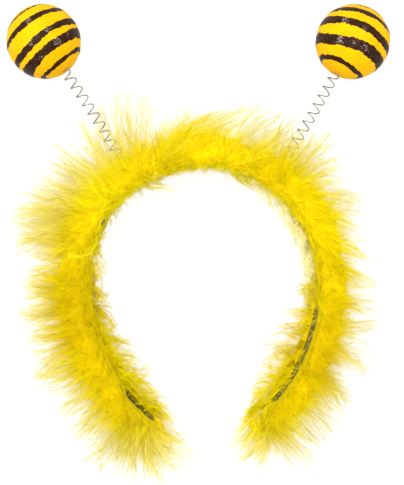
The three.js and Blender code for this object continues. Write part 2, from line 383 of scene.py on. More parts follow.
def down_colour_group() -> bpy.types.NodeTree:
    """Makes the shared colour of the down, from its tint and its paleness.

    Returns:
        The node group.
    """
    inputs = {name: "NodeSocketFloat" for name in ("Tint", "Paleness")}
    inputs |= {name: "NodeSocketColor" for name in ("Deep", "Bright", "Pale", "Cream")}
    tree, sheet, given, result = new_group("Down colour", inputs, {"Color": "NodeSocketColor"})
    body = sheet.mix(sheet.step(given["Tint"], 0.0, 1.0), given["Deep"], given["Bright"])
    paler = sheet.mix(sheet.step(given["Paleness"], 0.0, 0.7), body, given["Pale"])
    palest = sheet.mix(sheet.step(given["Paleness"], 0.7, 1.0), paler, given["Cream"])
    tree.links.new(palest, result.inputs["Color"])
    return tree


@dataclass(frozen=True)
class SharedEffects:
    """The node groups that several finishes use.

    Attributes:
        uneven: The uneven surface effect.
        down: The colour of the down.
    """

    uneven: bpy.types.NodeTree
    down: bpy.types.NodeTree


@dataclass(frozen=True)
class Finish:
    """A finish of one of the headband's surfaces.

    Attributes:
        name: The material's name.
    """

    name: str

    def material(self, effects: SharedEffects) -> bpy.types.Material:
        """Makes the material.

        Args:
            effects: The shared node groups.

        Returns:
            The new material.
        """
        made = bpy.data.materials.new(self.name)
        made.use_nodes = True
        sheet = NodeSheet(made.node_tree)
        output = sheet.add("ShaderNodeOutputMaterial")
        made.node_tree.links.new(self.surface(sheet, effects), output.inputs["Surface"])
        return made

    def surface(self, sheet: NodeSheet, effects: SharedEffects) -> bpy.types.NodeSocket:
        """Adds the shader; each finish has its own."""
        raise NotImplementedError


@dataclass(frozen=True)
class GlossPlastic(Finish):
    """Glossy moulded black plastic with faint scuffs; its colours carry an olive-brown tint, partly painted reflection
    of the yellow down.

    Attributes:
        color: The plastic's colour: near black, tinted olive-brown partly as painted reflection of the yellow down.
        scuffed: The colour where it is scuffed, with the same painted tint.
        roughness: The lowest and highest roughness.
        scuff_scale: How many scuffs there are in a metre.
        grain_scale: How many grains there are in a metre.
    """

    # Both colours are tinted olive-brown, partly as painted reflection of the yellow down.
    color: tuple = (0.02, 0.014, 0.003, 1)
    scuffed: tuple = (0.06, 0.044, 0.006, 1)
    roughness: tuple = (0.2, 0.42)
    scuff_scale: float = 90.0
    grain_scale: float = 1400.0

    def surface(self, sheet: NodeSheet, effects: SharedEffects) -> bpy.types.NodeSocket:
        """Adds the shader.

        Args:
            sheet: The material's nodes.
            effects: The shared node groups.

        Returns:
            The shader's output.
        """
        patches, grain = sheet.uneven(effects.uneven, self.scuff_scale, self.grain_scale)
        inputs = {
            "Base Color": sheet.mix(patches, self.color, self.scuffed),
            "Roughness": sheet.step(patches, 0.0, 1.0, *self.roughness),
            "Normal": sheet.bump(grain, 0.12, 0.0001),
            "Specular IOR Level": 0.25,
            "Coat Weight": 0.1,
            "Coat Roughness": 0.12,
        }
        return sheet.principled(inputs)


SOFT_SHEEN = {
    "Specular IOR Level": 0.03,
    "Sheen Weight": 0.12,
    "Sheen Roughness": 0.6,
    "Sheen Tint": (1.0, 0.85, 0.1, 1),
}


@dataclass(frozen=True)
class Down(Finish):
    """Soft dyed down that lets some light through.

    Attributes:
        deep: The colour in the depth of the down.
        bright: The colour of most strands.
        pale: The colour of the tips.
        cream: The colour of the palest wisps.
        through: The share of light that shines through.
    """

    deep: tuple = (0.81, 0.635, 0.0, 1)
    bright: tuple = (1.0, 0.925, 0.0, 1)
    pale: tuple = (0.89, 0.79, 0.15, 1)
    cream: tuple = (1.0, 0.95, 0.5, 1)
    through: float = 0.5

    def tones(self, sheet: NodeSheet) -> tuple:
        """Returns the strand's tint and its paleness."""
        split = sheet.add("ShaderNodeSeparateXYZ", {0: sheet.add("ShaderNodeUVMap", uv_map=UV_NAME).outputs[0]})
        return split.outputs["X"], split.outputs["Y"]

    def color(self, sheet: NodeSheet, effects: SharedEffects, tint: object, paleness: object) -> object:
        """Returns the down's colour for a tint and a paleness."""
        tones = {"Deep": self.deep, "Bright": self.bright, "Pale": self.pale, "Cream": self.cream}
        return sheet.group(effects.down, {"Tint": tint, "Paleness": paleness, **tones})["Color"]

    def surface(self, sheet: NodeSheet, effects: SharedEffects) -> bpy.types.NodeSocket:
        """Adds the shader.

        Args:
            sheet: The material's nodes.
            effects: The shared node groups.

        Returns:
            The shader's output.
        """
        color = self.color(sheet, effects, *self.tones(sheet))
        body = sheet.principled({"Base Color": color, "Roughness": 0.85, **SOFT_SHEEN})
        glow = sheet.add("ShaderNodeBsdfTranslucent", {"Color": color}).outputs[0]
        return sheet.add("ShaderNodeMixShader", {0: self.through, 1: body, 2: glow}).outputs[0]


@dataclass(frozen=True)
class DownHeart(Down):
    """The matted down next to the band, with the lie of its strands as bumps, in darker colours than the strands as
    painted shade of the dense down.

    Attributes:
        clump_scale: How many clumps there are in a metre.
        strands: How many strands a clump is wide.
    """

    # Darker than the strands' colours: painted shade, for the self-shadow that the opaque heart does not get.
    deep: tuple = (0.72, 0.525, 0.0, 1)
    bright: tuple = (0.93, 0.675, 0.0, 1)
    clump_scale: float = 260.0
    strands: float = 6.0

    def surface(self, sheet: NodeSheet, effects: SharedEffects) -> bpy.types.NodeSocket:
        """Adds the shader.

        Args:
            sheet: The material's nodes.
            effects: The shared node groups.

        Returns:
            The shader's output.
        """
        patches, grain = sheet.uneven(effects.uneven, self.clump_scale, self.clump_scale * self.strands)
        tint = sheet.math("MULTIPLY_ADD", sheet.math("SUBTRACT", patches, 0.5), 0.25, sheet.value("tone"))
        color = self.color(sheet, effects, tint, 0.0)
        relief = sheet.bump(sheet.math("ADD", grain, patches), 0.7, 0.0012)
        return sheet.principled({"Base Color": color, "Roughness": 0.9, "Normal": relief, **SOFT_SHEEN})


@dataclass(frozen=True)
class DrawnWire(Finish):
    """Bright drawn steel wire with a little tarnish.

    Attributes:
        bright: The steel's colour.
        tarnish: The colour where it is tarnished.
        roughness: The lowest and highest roughness.
        tarnish_scale: How many tarnished patches there are in a metre.
        grain_scale: How many grains there are in a metre.
    """

    bright: tuple = (0.40, 0.40, 0.37, 1)
    tarnish: tuple = (0.14, 0.13, 0.11, 1)
    roughness: tuple = (0.22, 0.48)
    tarnish_scale: float = 420.0
    grain_scale: float = 3000.0

    def surface(self, sheet: NodeSheet, effects: SharedEffects) -> bpy.types.NodeSocket:
        """Adds the shader.

        Args:
            sheet: The material's nodes.
            effects: The shared node groups.

        Returns:
            The shader's output.
        """
        patches, grain = sheet.uneven(effects.uneven, self.tarnish_scale, self.grain_scale)
        inputs = {
            "Base Color": sheet.mix(patches, self.bright, self.tarnish),
            "Metallic": 1.0,
            "Roughness": sheet.step(patches, 0.0, 1.0, *self.roughness),
            "Normal": sheet.bump(grain, 0.2, 0.00003),
        }
        return sheet.principled(inputs)


@dataclass(frozen=True)
class StripedFoam(Finish):
    """Foam painted yellow, with stripes brushed on in black glitter paint; its light flakes are painted highlights,
    thickest in the painted glints.

    Attributes:
        yellow: The ground's brighter colour.
        amber: The ground's deeper colour.
        black: The stripes' colour.
        streak: The colour of the thin streaks in the stripes.
        glint: The light colour of the glitter flakes, which paints their highlights.
        patch_scale: How many patches of uneven paint there are in a metre.
        grain_scale: How many grains there are in a metre.
        flake_scale: How many glitter flakes there are in a metre.
        rag_scales: How many fine and wide rags the stripes' edges have in a metre.
        stroke_scale: How many brush streaks there are in a millimetre across a stripe.
        stroke_stretch: How much shorter than a streak's length it is across, as a share.
    """

    yellow: tuple = (0.8, 0.43, 0.002, 1)
    amber: tuple = (0.79, 0.385, 0.001, 1)
    black: tuple = (0.014, 0.004, 0.001, 1)
    streak: tuple = (0.055, 0.022, 0.01, 1)
    glint: tuple = (0.36, 0.29, 0.27, 1)
    patch_scale: float = 110.0
    grain_scale: float = 900.0
    flake_scale: float = 2600.0
    rag_scales: tuple = (430.0, 210.0)
    stroke_scale: float = 3.2
    stroke_stretch: float = 0.09

    def surface(self, sheet: NodeSheet, effects: SharedEffects) -> bpy.types.NodeSocket:
        """Adds the shader.

        Args:
            sheet: The material's nodes.
            effects: The shared node groups.

        Returns:
            The shader's output.
        """
        patches, grain = sheet.uneven(effects.uneven, self.patch_scale, self.grain_scale)
        along = sheet.math("MULTIPLY", sheet.value("stroke_along"), self.stroke_stretch)
        strokes = sheet.add("ShaderNodeCombineXYZ", {0: along, 1: sheet.value("stroke_across")}).outputs[0]
        streaks = sheet.noise(strokes, self.stroke_scale, 4.0)
        fine_rags, wide_rags = sheet.uneven(effects.uneven, *self.rag_scales)
        edge = sheet.value("stripe")
        for noise, size in ((streaks, 0.8), (grain, 0.6), (fine_rags, 0.6), (wide_rags, 1.2)):
            edge = sheet.math("MULTIPLY_ADD", sheet.math("SUBTRACT", noise, 0.5), size, edge)
        painted = sheet.step(edge, -0.42, -0.2)
        ground = sheet.mix(patches, self.yellow, self.amber)
        ground = sheet.mix(sheet.step(grain, 0.35, 0.75, 0.0, 0.3), ground, self.yellow)
        paint = sheet.mix(sheet.step(streaks, 0.4, 0.7), self.black, self.streak)
        cells = sheet.add("ShaderNodeTexVoronoi", {"Vector": sheet.place(), "Scale": self.flake_scale})
        tone = sheet.add("ShaderNodeSeparateColor", {0: cells.outputs["Color"]}).outputs[0]
        # The light flakes are painted highlights: a few at random, and many in the painted glints.
        shine = sheet.math("MULTIPLY_ADD", sheet.value("glitter"), 0.30, tone)
        flakes = sheet.math("MULTIPLY", sheet.step(shine, 0.97, 1.06), painted)
        color = sheet.mix(flakes, sheet.mix(painted, ground, paint), self.glint)
        dry = sheet.math("SUBTRACT", 0.62, sheet.math("MULTIPLY", painted, 0.26))
        relief = sheet.math("ADD", sheet.math("MULTIPLY", painted, 0.5), sheet.math("MULTIPLY", grain, 0.35))
        relief = sheet.math("ADD", relief, sheet.math("MULTIPLY", sheet.math("MULTIPLY", streaks, painted), 1.2))
        inputs = {
            "Base Color": color,
            "Roughness": sheet.math("SUBTRACT", dry, sheet.math("MULTIPLY", flakes, 0.15)),
            "Metallic": sheet.math("MULTIPLY", flakes, 0.6),
            "Specular IOR Level": 0.03,
            "Coat Weight": sheet.math("MULTIPLY", painted, 0.1),
            "Coat Roughness": 0.3,
            "Normal": sheet.bump(relief, 0.5, 0.0003),
        }
        return sheet.principled(inputs)


@dataclass(frozen=True)
class FloorPaper(Finish):
    """The plain pale paper that the headband lies on.

    Attributes:
        color: The paper's colour.
        glow: How strongly the light table under it shines through.
    """

    color: tuple = (0.2, 0.2, 0.2, 1)
    glow: float = 0.8

    def surface(self, sheet: NodeSheet, effects: SharedEffects) -> bpy.types.NodeSocket:
        """Adds the shader.

        Args:
            sheet: The material's nodes.
            effects: The shared node groups; not used here.

        Returns:
            The shader's output.
        """
        inputs = {
            "Base Color": self.color,
            "Roughness": 0.9,
            "Specular IOR Level": 0.1,
            "Emission Color": (1.0, 1.0, 1.0, 1),
            "Emission Strength": self.glow,
        }
        return sheet.principled(inputs)


# ---------------------------------------------------------------------------------------------------------
# The band and its line
# ---------------------------------------------------------------------------------------------------------


@dataclass
class BandLine:
    """The line of the band's inner face, and places measured from it.

    Attributes:
        crown_radius: The radius of the crown's half circle.
        arm_radius: The radius of the arms below it.
        arm_turn: How far the arms turn in, in radians.
        thickness: The band's thickness.
        width: The band's width.
        twist: How far the band's inner face is turned up, in degrees, by shares of the way from tip to tip.
        facet_share: The share of the crown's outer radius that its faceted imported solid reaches.
    """

    crown_radius: float = 62.4
    arm_radius: float = 97.0
    arm_turn: float = math.radians(50)
    thickness: float = 1.6
    width: float = 10.0
    twist: tuple = ((0, 5), (0.1, 5), (0.15, 3), (0.2, 0), (0.68, 0), (0.72, 2), (0.8, 2), (0.82, 5), (0.97, 5), (1, 5))
    facet_share: float = 0.99767

    def __post_init__(self) -> None:
        """Finds the crown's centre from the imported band."""
        low, high = (np.array(corner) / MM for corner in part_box("band"))
        outer = self.crown_radius + self.thickness
        self.centre = np.array([(low[0] + high[0]) / 2, high[1] - outer * self.facet_share, (low[2] + high[2]) / 2])
        self.half_crown = self.crown_radius * math.pi / 2
        self.half_length = self.half_crown + self.arm_radius * self.arm_turn

    def axes(self, distance: np.ndarray) -> tuple[np.ndarray, np.ndarray, np.ndarray]:
        """Finds places on the line and its directions there.

        Args:
            distance: How far along the line from the crown's middle, towards the right tip.

        Returns:
            The places, the directions away from the head and the directions along the line.
        """
        side = np.where(distance < 0, -1.0, 1.0)
        turn = (np.abs(distance) - self.half_crown) / self.arm_radius
        angle = distance / self.crown_radius
        on_crown = (turn <= 0)[..., None]
        zero = np.zeros_like(turn)
        on_arm = np.stack([side * np.cos(turn), -np.sin(turn), zero], -1)
        outward = np.where(on_crown, np.stack([np.sin(angle), np.cos(angle), zero], -1), on_arm)
        hub = np.stack([side * (self.crown_radius - self.arm_radius), zero, zero], -1)
        place = np.where(on_crown, self.crown_radius * outward, hub + self.arm_radius * outward)
        along = np.stack([outward[..., 1], -outward[..., 0], zero], -1)
        return place + self.centre, outward, along

    def place(self, distance: np.ndarray, out: np.ndarray, up: np.ndarray) -> np.ndarray:
        """Returns the points at these distances along the line, out from the inner face and up."""
        point, outward, _ = self.axes(distance)
        return point + outward * out[..., None] + UP * up[..., None]

    def measure(self, points: np.ndarray) -> tuple[np.ndarray, np.ndarray, np.ndarray]:
        """Measures points against the line.

        Args:
            points: Points of shape (..., 3).

        Returns:
            Their distances along the line, out from the inner face and up from the band's middle.
        """
        x, y, up = np.moveaxis(points - self.centre, -1, 0)
        side = np.where(x < 0, -1.0, 1.0)
        from_hub = side * x + self.arm_radius - self.crown_radius
        turn = np.arctan2(-y, np.maximum(from_hub, 1e-6))
        crown = np.arctan2(x, y) * self.crown_radius
        distance = np.where(y >= 0, crown, side * (self.half_crown + self.arm_radius * turn))
        out = np.where(y >= 0, np.hypot(x, y) - self.crown_radius, np.hypot(from_hub, y) - self.arm_radius)
        return distance, out, up

    def share(self, distance: np.ndarray) -> np.ndarray:
        """Returns the share of the way from the left tip to the right tip."""
        return (distance / self.half_length + 1) / 2

    def at(self, share: np.ndarray) -> np.ndarray:
        """Returns the distance along the line at a share of the way."""
        return (2 * share - 1) * self.half_length

    def turned_up(self, distance: np.ndarray) -> np.ndarray:
        """Returns how far the inner face is turned up at these distances, in radians."""
        shares, degrees = zip(*self.twist)
        return np.radians(np.interp(self.share(distance), shares, degrees))


@dataclass
class Strip:
    """The plain strip of the headband, with the posts that the springs sit on.

    Attributes:
        line: The line of its inner face.
        edge: How far its edges are rounded.
        tip_rounding: The radius of its tips' corners.
        post_radius: The radius of a post.
        post_height: How far a post stands out.
        post_angles: Where the posts stand, in degrees from the crown's middle.
    """

    line: BandLine
    edge: float = 0.45
    tip_rounding: float = 4.9
    post_radius: float = 2.08
    post_height: float = 6.0
    post_angles: tuple = (-34.1, 35.9)

    def section(self) -> np.ndarray:
        """Works out the strip's section, with rounded edges.

        Returns:
            Points out and up from its middle, of shape (16, 2).
        """
        thick, wide = self.line.thickness / 2, self.line.width / 2
        quarter = np.linspace(0, math.pi / 2, 4)
        corners = []
        for turn, (out, up) in enumerate([(1, 1), (-1, 1), (-1, -1), (1, -1)]):
            angle = quarter + turn * math.pi / 2
            middle = np.array([out * (thick - self.edge), up * (wide - self.edge)])
            corners.append(middle + self.edge * np.stack([np.cos(angle), np.sin(angle)], -1))
        return np.concatenate(corners)

    def strip_parts(self) -> MeshParts:
        """Builds the strip as one closed loft.

        Returns:
            The strip's mesh.
        """
        length = self.line.half_length
        rounding = self.tip_rounding
        bend = rounding * (1 - np.cos(np.linspace(0.12, math.pi / 2, 9)))
        middle = np.linspace(-length + rounding, length - rounding, 361)
        distance = np.concatenate([-length + bend, middle[1:-1], (length - bend)[::-1]])
        inset = rounding - np.maximum(length - np.abs(distance), 0)
        drop = rounding - np.sqrt(np.maximum(rounding**2 - np.maximum(inset, 0) ** 2, 0))
        ring = self.section()
        wide = self.line.width / 2
        up = ring[:, 1] * (1 - drop[:, None] / wide)
        twist = self.line.turned_up(distance)[:, None]
        out = ring[:, 0] + self.line.thickness / 2
        out, up = out + up * np.sin(twist), up * np.cos(twist) - ring[:, 0] * np.sin(twist)
        points = self.line.place(np.broadcast_to(distance[:, None], up.shape), out, up)
        parts = closed_loft(points, points[0].mean(0), points[-1].mean(0))
        u, v = np.meshgrid(*(np.linspace(0.02, 0.98, count) for count in up.shape), indexing="ij")
        parts.uv = np.concatenate([np.stack([u, v], -1).reshape(-1, 2), [[0.0, 0.0], [1.0, 1.0]]])
        return parts

    def post_parts(self, degrees: float) -> MeshParts:
        """Builds one tapered post with a rounded top.

        Args:
            degrees: Where it stands, from the crown's middle.

        Returns:
            The post's mesh.
        """
        distance = np.array(math.radians(degrees) * self.line.crown_radius)
        root, outward, along = self.line.axes(distance)
        round_top = np.linspace(0, math.pi / 2, 6)[:-1]
        top = self.post_radius * 0.85
        heights = np.concatenate([[-0.4, 0.0], self.post_height - 0.5 + 0.5 * np.sin(round_top)])
        radii = np.concatenate([[self.post_radius] * 2, top - 0.5 + 0.5 * np.cos(round_top)])
        around = 32
        ring = circle(around, along, UP)
        base = root + outward * self.line.thickness
        points = base + heights[:, None, None] * outward + radii[:, None, None] * ring
        count = len(heights) * around
        points = np.concatenate([points.reshape(-1, 3), [base + outward * self.post_height]])
        quads = grid_quads(len(heights), around)
        caps = cap(np.arange(around) + count - around, count, False)
        return MeshParts(points, quads, caps)

    def dress(self, material: bpy.types.Material) -> list[bpy.types.Object]:
        """Builds the strip and its posts.

        Args:
            material: The plastic.

        Returns:
            The pieces.
        """
        pieces = [self.strip_parts().build("band_strip", material)]
        for side, degrees in zip(("left", "right"), self.post_angles):
            pieces.append(self.post_parts(degrees).build(f"{side}_post", material))
        for piece in pieces:
            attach(piece, Body.HEADBAND.value)
            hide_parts("band")
        return pieces


# ---------------------------------------------------------------------------------------------------------
# The feather trim
# ---------------------------------------------------------------------------------------------------------


@dataclass
class TrimShape:
    """How far the trim reaches round the band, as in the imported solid.

    Attributes:
        line: The band's line.
        reach: How far the longest locks stand out.
        height: How far they stand up and down.
        inside: How far they come in over the head.
        stations: Shares of the way from tip to tip, each with the shares of the reach out and in there.
        front: How far the down in front comes over the band's inner edge, by shares of the way.
        behind: The same for the down behind it.
        crossing: The share of the loose plumes that cross in front, by shares of the way.
        lean: How far the down leans along the band, in degrees, by shares of the way.
        tone: The down's tint, 0 deep to 1 bright, by shares of the way.
        wispy: How pale the down over the head is, by shares of the way.
        sprays: How much further than the locks single strands may reach, by shares of the way.
        play: How far loose and firm strands may come in past the band's edge, towards the head.
        edge_gap: How far off the band's edge the strands that pass it lie.
        floor_gap: How far above the floor the lowest strands lie.
        floor_play: How far above that the floor starts to press strands up.
    """

    line: BandLine
    reach: float = 32.0
    height: float = 21.0
    inside: float = 14.0
    stations: tuple = (
        (0.000, 1.03, 0.55), (0.042, 1.09, 0.78), (0.083, 1.12, 0.99), (0.125, 1.12, 0.86), (0.167, 1.0, 0.73),
        (0.208, 0.98, 0.57), (0.250, 0.84, 0.40), (0.292, 1.42, 0.25), (0.333, 1.22, 0.21), (0.375, 1.12, 0.27),
        (0.417, 1.19, 0.34), (0.458, 0.78, 0.35), (0.500, 0.87, 0.30), (0.542, 1.02, 0.33), (0.583, 1.09, 0.35),
        (0.625, 1.11, 0.40), (0.667, 0.97, 0.41), (0.708, 0.84, 0.42), (0.750, 0.73, 0.35), (0.792, 0.8, 0.46),
        (0.833, 0.98, 0.71), (0.875, 0.91, 0.89), (0.917, 0.92, 0.92), (0.958, 0.95, 0.73), (1.000, 0.98, 0.30),
    )
    front: tuple = (
        (0.0, -1.2), (0.052, -1.6), (0.07, 1.6), (0.12, 2.4), (0.2, 3.4), (0.3, 2.2), (0.317, 1.6), (0.322, -0.7),
        (0.332, -0.7), (0.337, 1.6), (0.38, 2.8), (0.5, 2.8), (0.62, 2.8), (0.67, 2.4), (0.7, 0.9), (0.8, 0.4),
        (0.815, -1.5), (0.963, -1.5), (0.975, 1.6), (1.0, 2.2),
    )
    behind: tuple = (
        (0.0, 2.0), (0.05, 7.0), (0.1, 8.0), (0.13, 6.0), (0.17, 5.0), (0.21, 4.0), (0.25, 1.5), (0.3, 0.6),
        (0.38, 0.5), (0.42, 3.0), (0.5, 2.2), (0.63, 2.6), (0.75, 2.0), (0.79, 2.2), (0.83, 5.5), (0.88, 9.5),
        (0.92, 9.5), (0.96, 7.5), (1.0, 2.0),
    )
    crossing: tuple = ((0.0, 0.0), (0.06, 0.0), (0.1, 0.4), (0.72, 0.4), (0.8, 0.15), (0.86, 0.05), (1.0, 0.05))
    lean: tuple = ((0.0, -20.0), (0.12, -6.0), (0.25, -14.0), (0.33, -16.0), (0.45, 4.0), (0.55, 12.0), (1.0, 16.0))
    tone: tuple = (
        (0.0, 0.48), (0.2, 0.5), (0.3, 0.55), (0.36, 0.66), (0.62, 0.7), (0.68, 0.58), (0.76, 0.4), (0.86, 0.44),
        (1.0, 0.54),
    )
    wispy: tuple = ((0.0, 0.6), (0.24, 0.6), (0.3, 0.85), (0.36, 0.97), (0.76, 0.97), (0.82, 0.7), (1.0, 0.6))
    sprays: tuple = ((0.0, 1.05), (0.33, 1.05), (0.37, 1.35), (0.45, 1.35), (0.47, 1.25), (0.5, 1.05), (1.0, 1.05))
    play: tuple = (12.0, 1.0)
    edge_gap: float = 0.35
    floor_gap: float = 0.2
    floor_play: float = 2.8

    def __post_init__(self) -> None:
        """Makes the seeded noise of the locks."""
        self.locks = Waves(seed=41, dimensions=3)

    def table(self, rows: tuple, share: np.ndarray, column: int = 1) -> np.ndarray:
        """Reads one column of a table at shares of the way."""
        shares, values = [row[0] for row in rows], [row[column] for row in rows]
        return np.interp(share, shares, values)

    def limit(self, angle: np.ndarray, share: np.ndarray) -> np.ndarray:
        """Finds how far the locks reach.

        Args:
            angle: The angle round the section, 0 outwards and 90 degrees up.
            share: The share of the way from tip to tip.

        Returns:
            The reach from the band's outer face.
        """
        cos, sin = np.cos(angle), np.sin(angle)
        inside = self.inside * self.table(self.stations, share, 2)
        across = np.where(cos > 0, self.reach * self.table(self.stations, share), inside)
        power = np.where(cos > 0, 2.0, 3.0)
        return (np.abs(cos / across) ** power + np.abs(sin / self.height) ** power) ** (-1 / power)

    def tufted(self, angle: np.ndarray, distance: np.ndarray) -> tuple[np.ndarray, np.ndarray]:
        """Finds how the down gathers in tufts.

        Args:
            angle: The angle round the section.
            distance: How far along the band.

        Returns:
            How long or short it is there, about 1, and how far it leans to one side, in radians.
        """
        places = np.stack([distance / 8.0, 1.6 * np.cos(angle), 1.6 * np.sin(angle)], -1)
        return 1 + 0.17 * self.locks.at(places), math.radians(15) * self.locks.at(places + 9.0)

    def tints(self, distance: np.ndarray, rng: np.random.Generator) -> np.ndarray:
        """Draws seeded tints of the down.

        Args:
            distance: How far along the band.
            rng: The seeded random numbers.

        Returns:
            The tints there, 0 deep to 1 bright.
        """
        drift = 0.14 * Waves(seed=5, dimensions=1).at(distance[:, None] / 16)
        tint = self.table(self.tone, self.line.share(distance)) + drift
        return np.clip(tint + rng.normal(0, 0.07, len(distance)), 0, 1)

    def settle(self, points: np.ndarray, loose: np.ndarray) -> np.ndarray:
        """Lays strands on the floor and off the band's bare inner face.

        Args:
            points: The strands' points, of shape (strands, steps, 3).
            loose: Which strands are wisps that may cross in front, of shape (strands,).

        Returns:
            The points where they come to rest.
        """
        distance, out, up = self.line.measure(points)
        shift = np.clip(up, -6, 6) * np.tan(self.line.turned_up(distance))
        out = out - shift
        share = np.clip(self.line.share(distance), 0, 1)
        side = np.where(up >= 0, 1.0, -1.0)
        most = np.where(side > 0, self.table(self.front, share), self.table(self.behind, share))
        up = np.where(up > self.height, self.height + give(up - self.height, 8.0), up)
        angle, reach = np.arctan2(up, out - self.line.thickness), np.hypot(up, out - self.line.thickness)
        most_out = self.limit(angle, share) * self.table(self.sprays, share) + 2
        held = np.minimum(reach, most_out + give(np.maximum(reach - most_out, 0), 3.0))
        held = np.where(out > 0, held / np.maximum(reach, 1e-6), 1.0)
        out, up = self.line.thickness + (out - self.line.thickness) * held, up * held
        play = np.where(loose, *self.play)[:, None] * np.where(side > 0, 1.0, 1.6)
        past = np.maximum(-out - most, 0)
        out = np.where(past > 0, -most - give(past, play), out)
        edge = self.line.width / 2 + self.edge_gap
        need = edge * smooth_step((out + 6.5) / 5.0) * (out < self.line.thickness + 0.2)
        up = np.where(np.abs(up) < need, side * (need + 0.25 * (need - np.abs(up))), up)
        settled = self.line.place(distance, out + shift, up)
        height = settled[..., 2]
        soft = self.floor_gap + self.floor_play
        pressed = self.floor_gap + self.floor_play * np.exp((height - soft) / self.floor_play)
        settled[..., 2] = np.where(height < soft, pressed, height)
        return settled


@dataclass
class Strands:
    """Many strands of down, each a row of points.

    Attributes:
        points: Of shape (strands, steps, 3).
        width: Each strand's width at its root.
        tint: Each strand's tint, 0 deep to 1 bright.
        pale: How pale each strand grows towards its tip, 0 to 1.
        home: How far along the band each strand grows.
    """

    points: np.ndarray
    width: np.ndarray
    tint: np.ndarray
    pale: np.ndarray
    home: np.ndarray
    NAMES = ("points", "width", "tint", "pale", "home")

    @classmethod
    def joined(cls, groups: list["Strands"]) -> "Strands":
        """Returns all the groups as one."""
        return cls(*(np.concatenate([getattr(group, name) for group in groups]) for name in cls.NAMES))

    def part(self, chosen: np.ndarray) -> "Strands":
        """Returns only the chosen strands."""
        return Strands(*(getattr(self, name)[chosen] for name in self.NAMES))

    def ribbons(self, line: BandLine, seed: int) -> MeshParts:
        """Builds each strand as a thin ribbon that tapers to its tip.

        Args:
            line: The band's line, for the soft shading of the whole.
            seed: The seed of the ribbons' turns.

        Returns:
            The mesh of all the strands.
        """
        rng = np.random.default_rng(seed)
        strands, steps = self.points.shape[:2]
        tangent = unit(np.gradient(self.points, axis=1))
        distance, out, up = line.measure(self.points)
        _, outward, _ = line.axes(distance)
        raised = np.where(up > 0, 0.6, 0.25) * up + 10.0
        soft = unit(outward * (out * 0.5 - 1.0)[..., None] + UP * raised[..., None])
        spread = rng.normal(size=(strands, 1, 3)) * 0.75
        facing = across(soft + spread, tangent)
        aside = np.cross(tangent, facing)
        taper = (1 - np.linspace(0, 1, steps) ** 1.25)[None, :, None] * 0.5 * self.width[:, None, None]
        left, right = self.points - aside * taper, self.points + aside * taper
        pairs = np.stack([left, right], 2)[:, :-1].reshape(strands, -1, 3)
        points = np.concatenate([pairs, self.points[:, -1:]], 1)
        shade = unit(soft * 1.25 + facing * 0.4)
        normals = np.concatenate([np.repeat(shade[:, :-1], 2, 1), shade[:, -1:]], 1)
        each = points.shape[1]
        first = np.arange(strands)[:, None] * each
        quads = np.array([0, 1, 3, 2]) + 2 * np.arange(steps - 2)[:, None]
        quads = (first[:, :, None] + quads[None]).reshape(-1, 4)
        tips = first + np.array([each - 3, each - 2, each - 1])
        past_tip = np.maximum(np.abs(distance) - line.half_length + 6.0, 0)
        far = np.maximum(out - line.thickness, 0) + 1.3 * np.maximum(-out, 0) + 0.3 * np.abs(up) + past_tip
        own = 0.12 + 0.75 * smooth_step((self.pale - 0.75) / 0.2)[:, None]
        paleness = smooth_step((far - 16.0) / 10.0) * self.pale[:, None] + own * np.linspace(0, 1, steps)
        bare = smooth_step((-out - 0.5) / 3.0) + 0.75 * smooth_step((past_tip - 16.0) / 12.0)
        cream = np.clip(bare, 0, 1) * smooth_step((self.pale - 0.85) / 0.1)[:, None]
        paleness = 0.7 * np.clip(paleness, 0, 1) * (1 - cream) + cream
        paleness = np.concatenate([np.repeat(paleness[:, :-1], 2, 1), paleness[:, -1:]], 1)
        uv = np.stack([np.repeat(self.tint[:, None], each, 1), paleness], -1)
        uv = np.clip(uv.reshape(-1, 2), 0.004, 0.996)
        return MeshParts(points.reshape(-1, 3), quads, tips, uv, normals=normals.reshape(-1, 3))


@dataclass
class PlumeSeeds:
    """Where some plumes grow and how they lie.

    Attributes:
        home: How far along the band each plume grows.
        angle: Its angle round the section, 0 outwards and 90 degrees up, in radians.
        size: Its length.
        lean: How far it leans along the band, in radians.
        arch: How much further round the section its middle lies, in radians.
        pale: How pale it grows towards its tip, 0 to 1.
    """

    home: np.ndarray
    angle: np.ndarray
    size: np.ndarray
    lean: np.ndarray
    arch: np.ndarray
    pale: np.ndarray


@dataclass
class PlumeBundle:
    """The middle quills of many small plumes.

    Attributes:
        ends: Start, bend and end of each quill, of shape (plumes, 3, 3).
        size: Each plume's length.
        tint: Each plume's tint, 0 deep to 1 bright.
        pale: How pale it grows towards its tip, 0 to 1.
        home: How far along the band each plume grows.
    """

    ends: np.ndarray
    size: np.ndarray
    tint: np.ndarray
    pale: np.ndarray
    home: np.ndarray

    def at(self, way: np.ndarray) -> tuple[np.ndarray, np.ndarray]:
        """Finds places on the quills.

        Args:
            way: Shares of the way along each quill, of shape (plumes, n).

        Returns:
            The places and the quills' directions there.
        """
        start, bend, end = (self.ends[:, None, i] for i in range(3))
        t = way[..., None]
        place = (1 - t) ** 2 * start + 2 * t * (1 - t) * bend + t**2 * end
        return place, unit((1 - t) * (bend - start) + t * (end - bend))


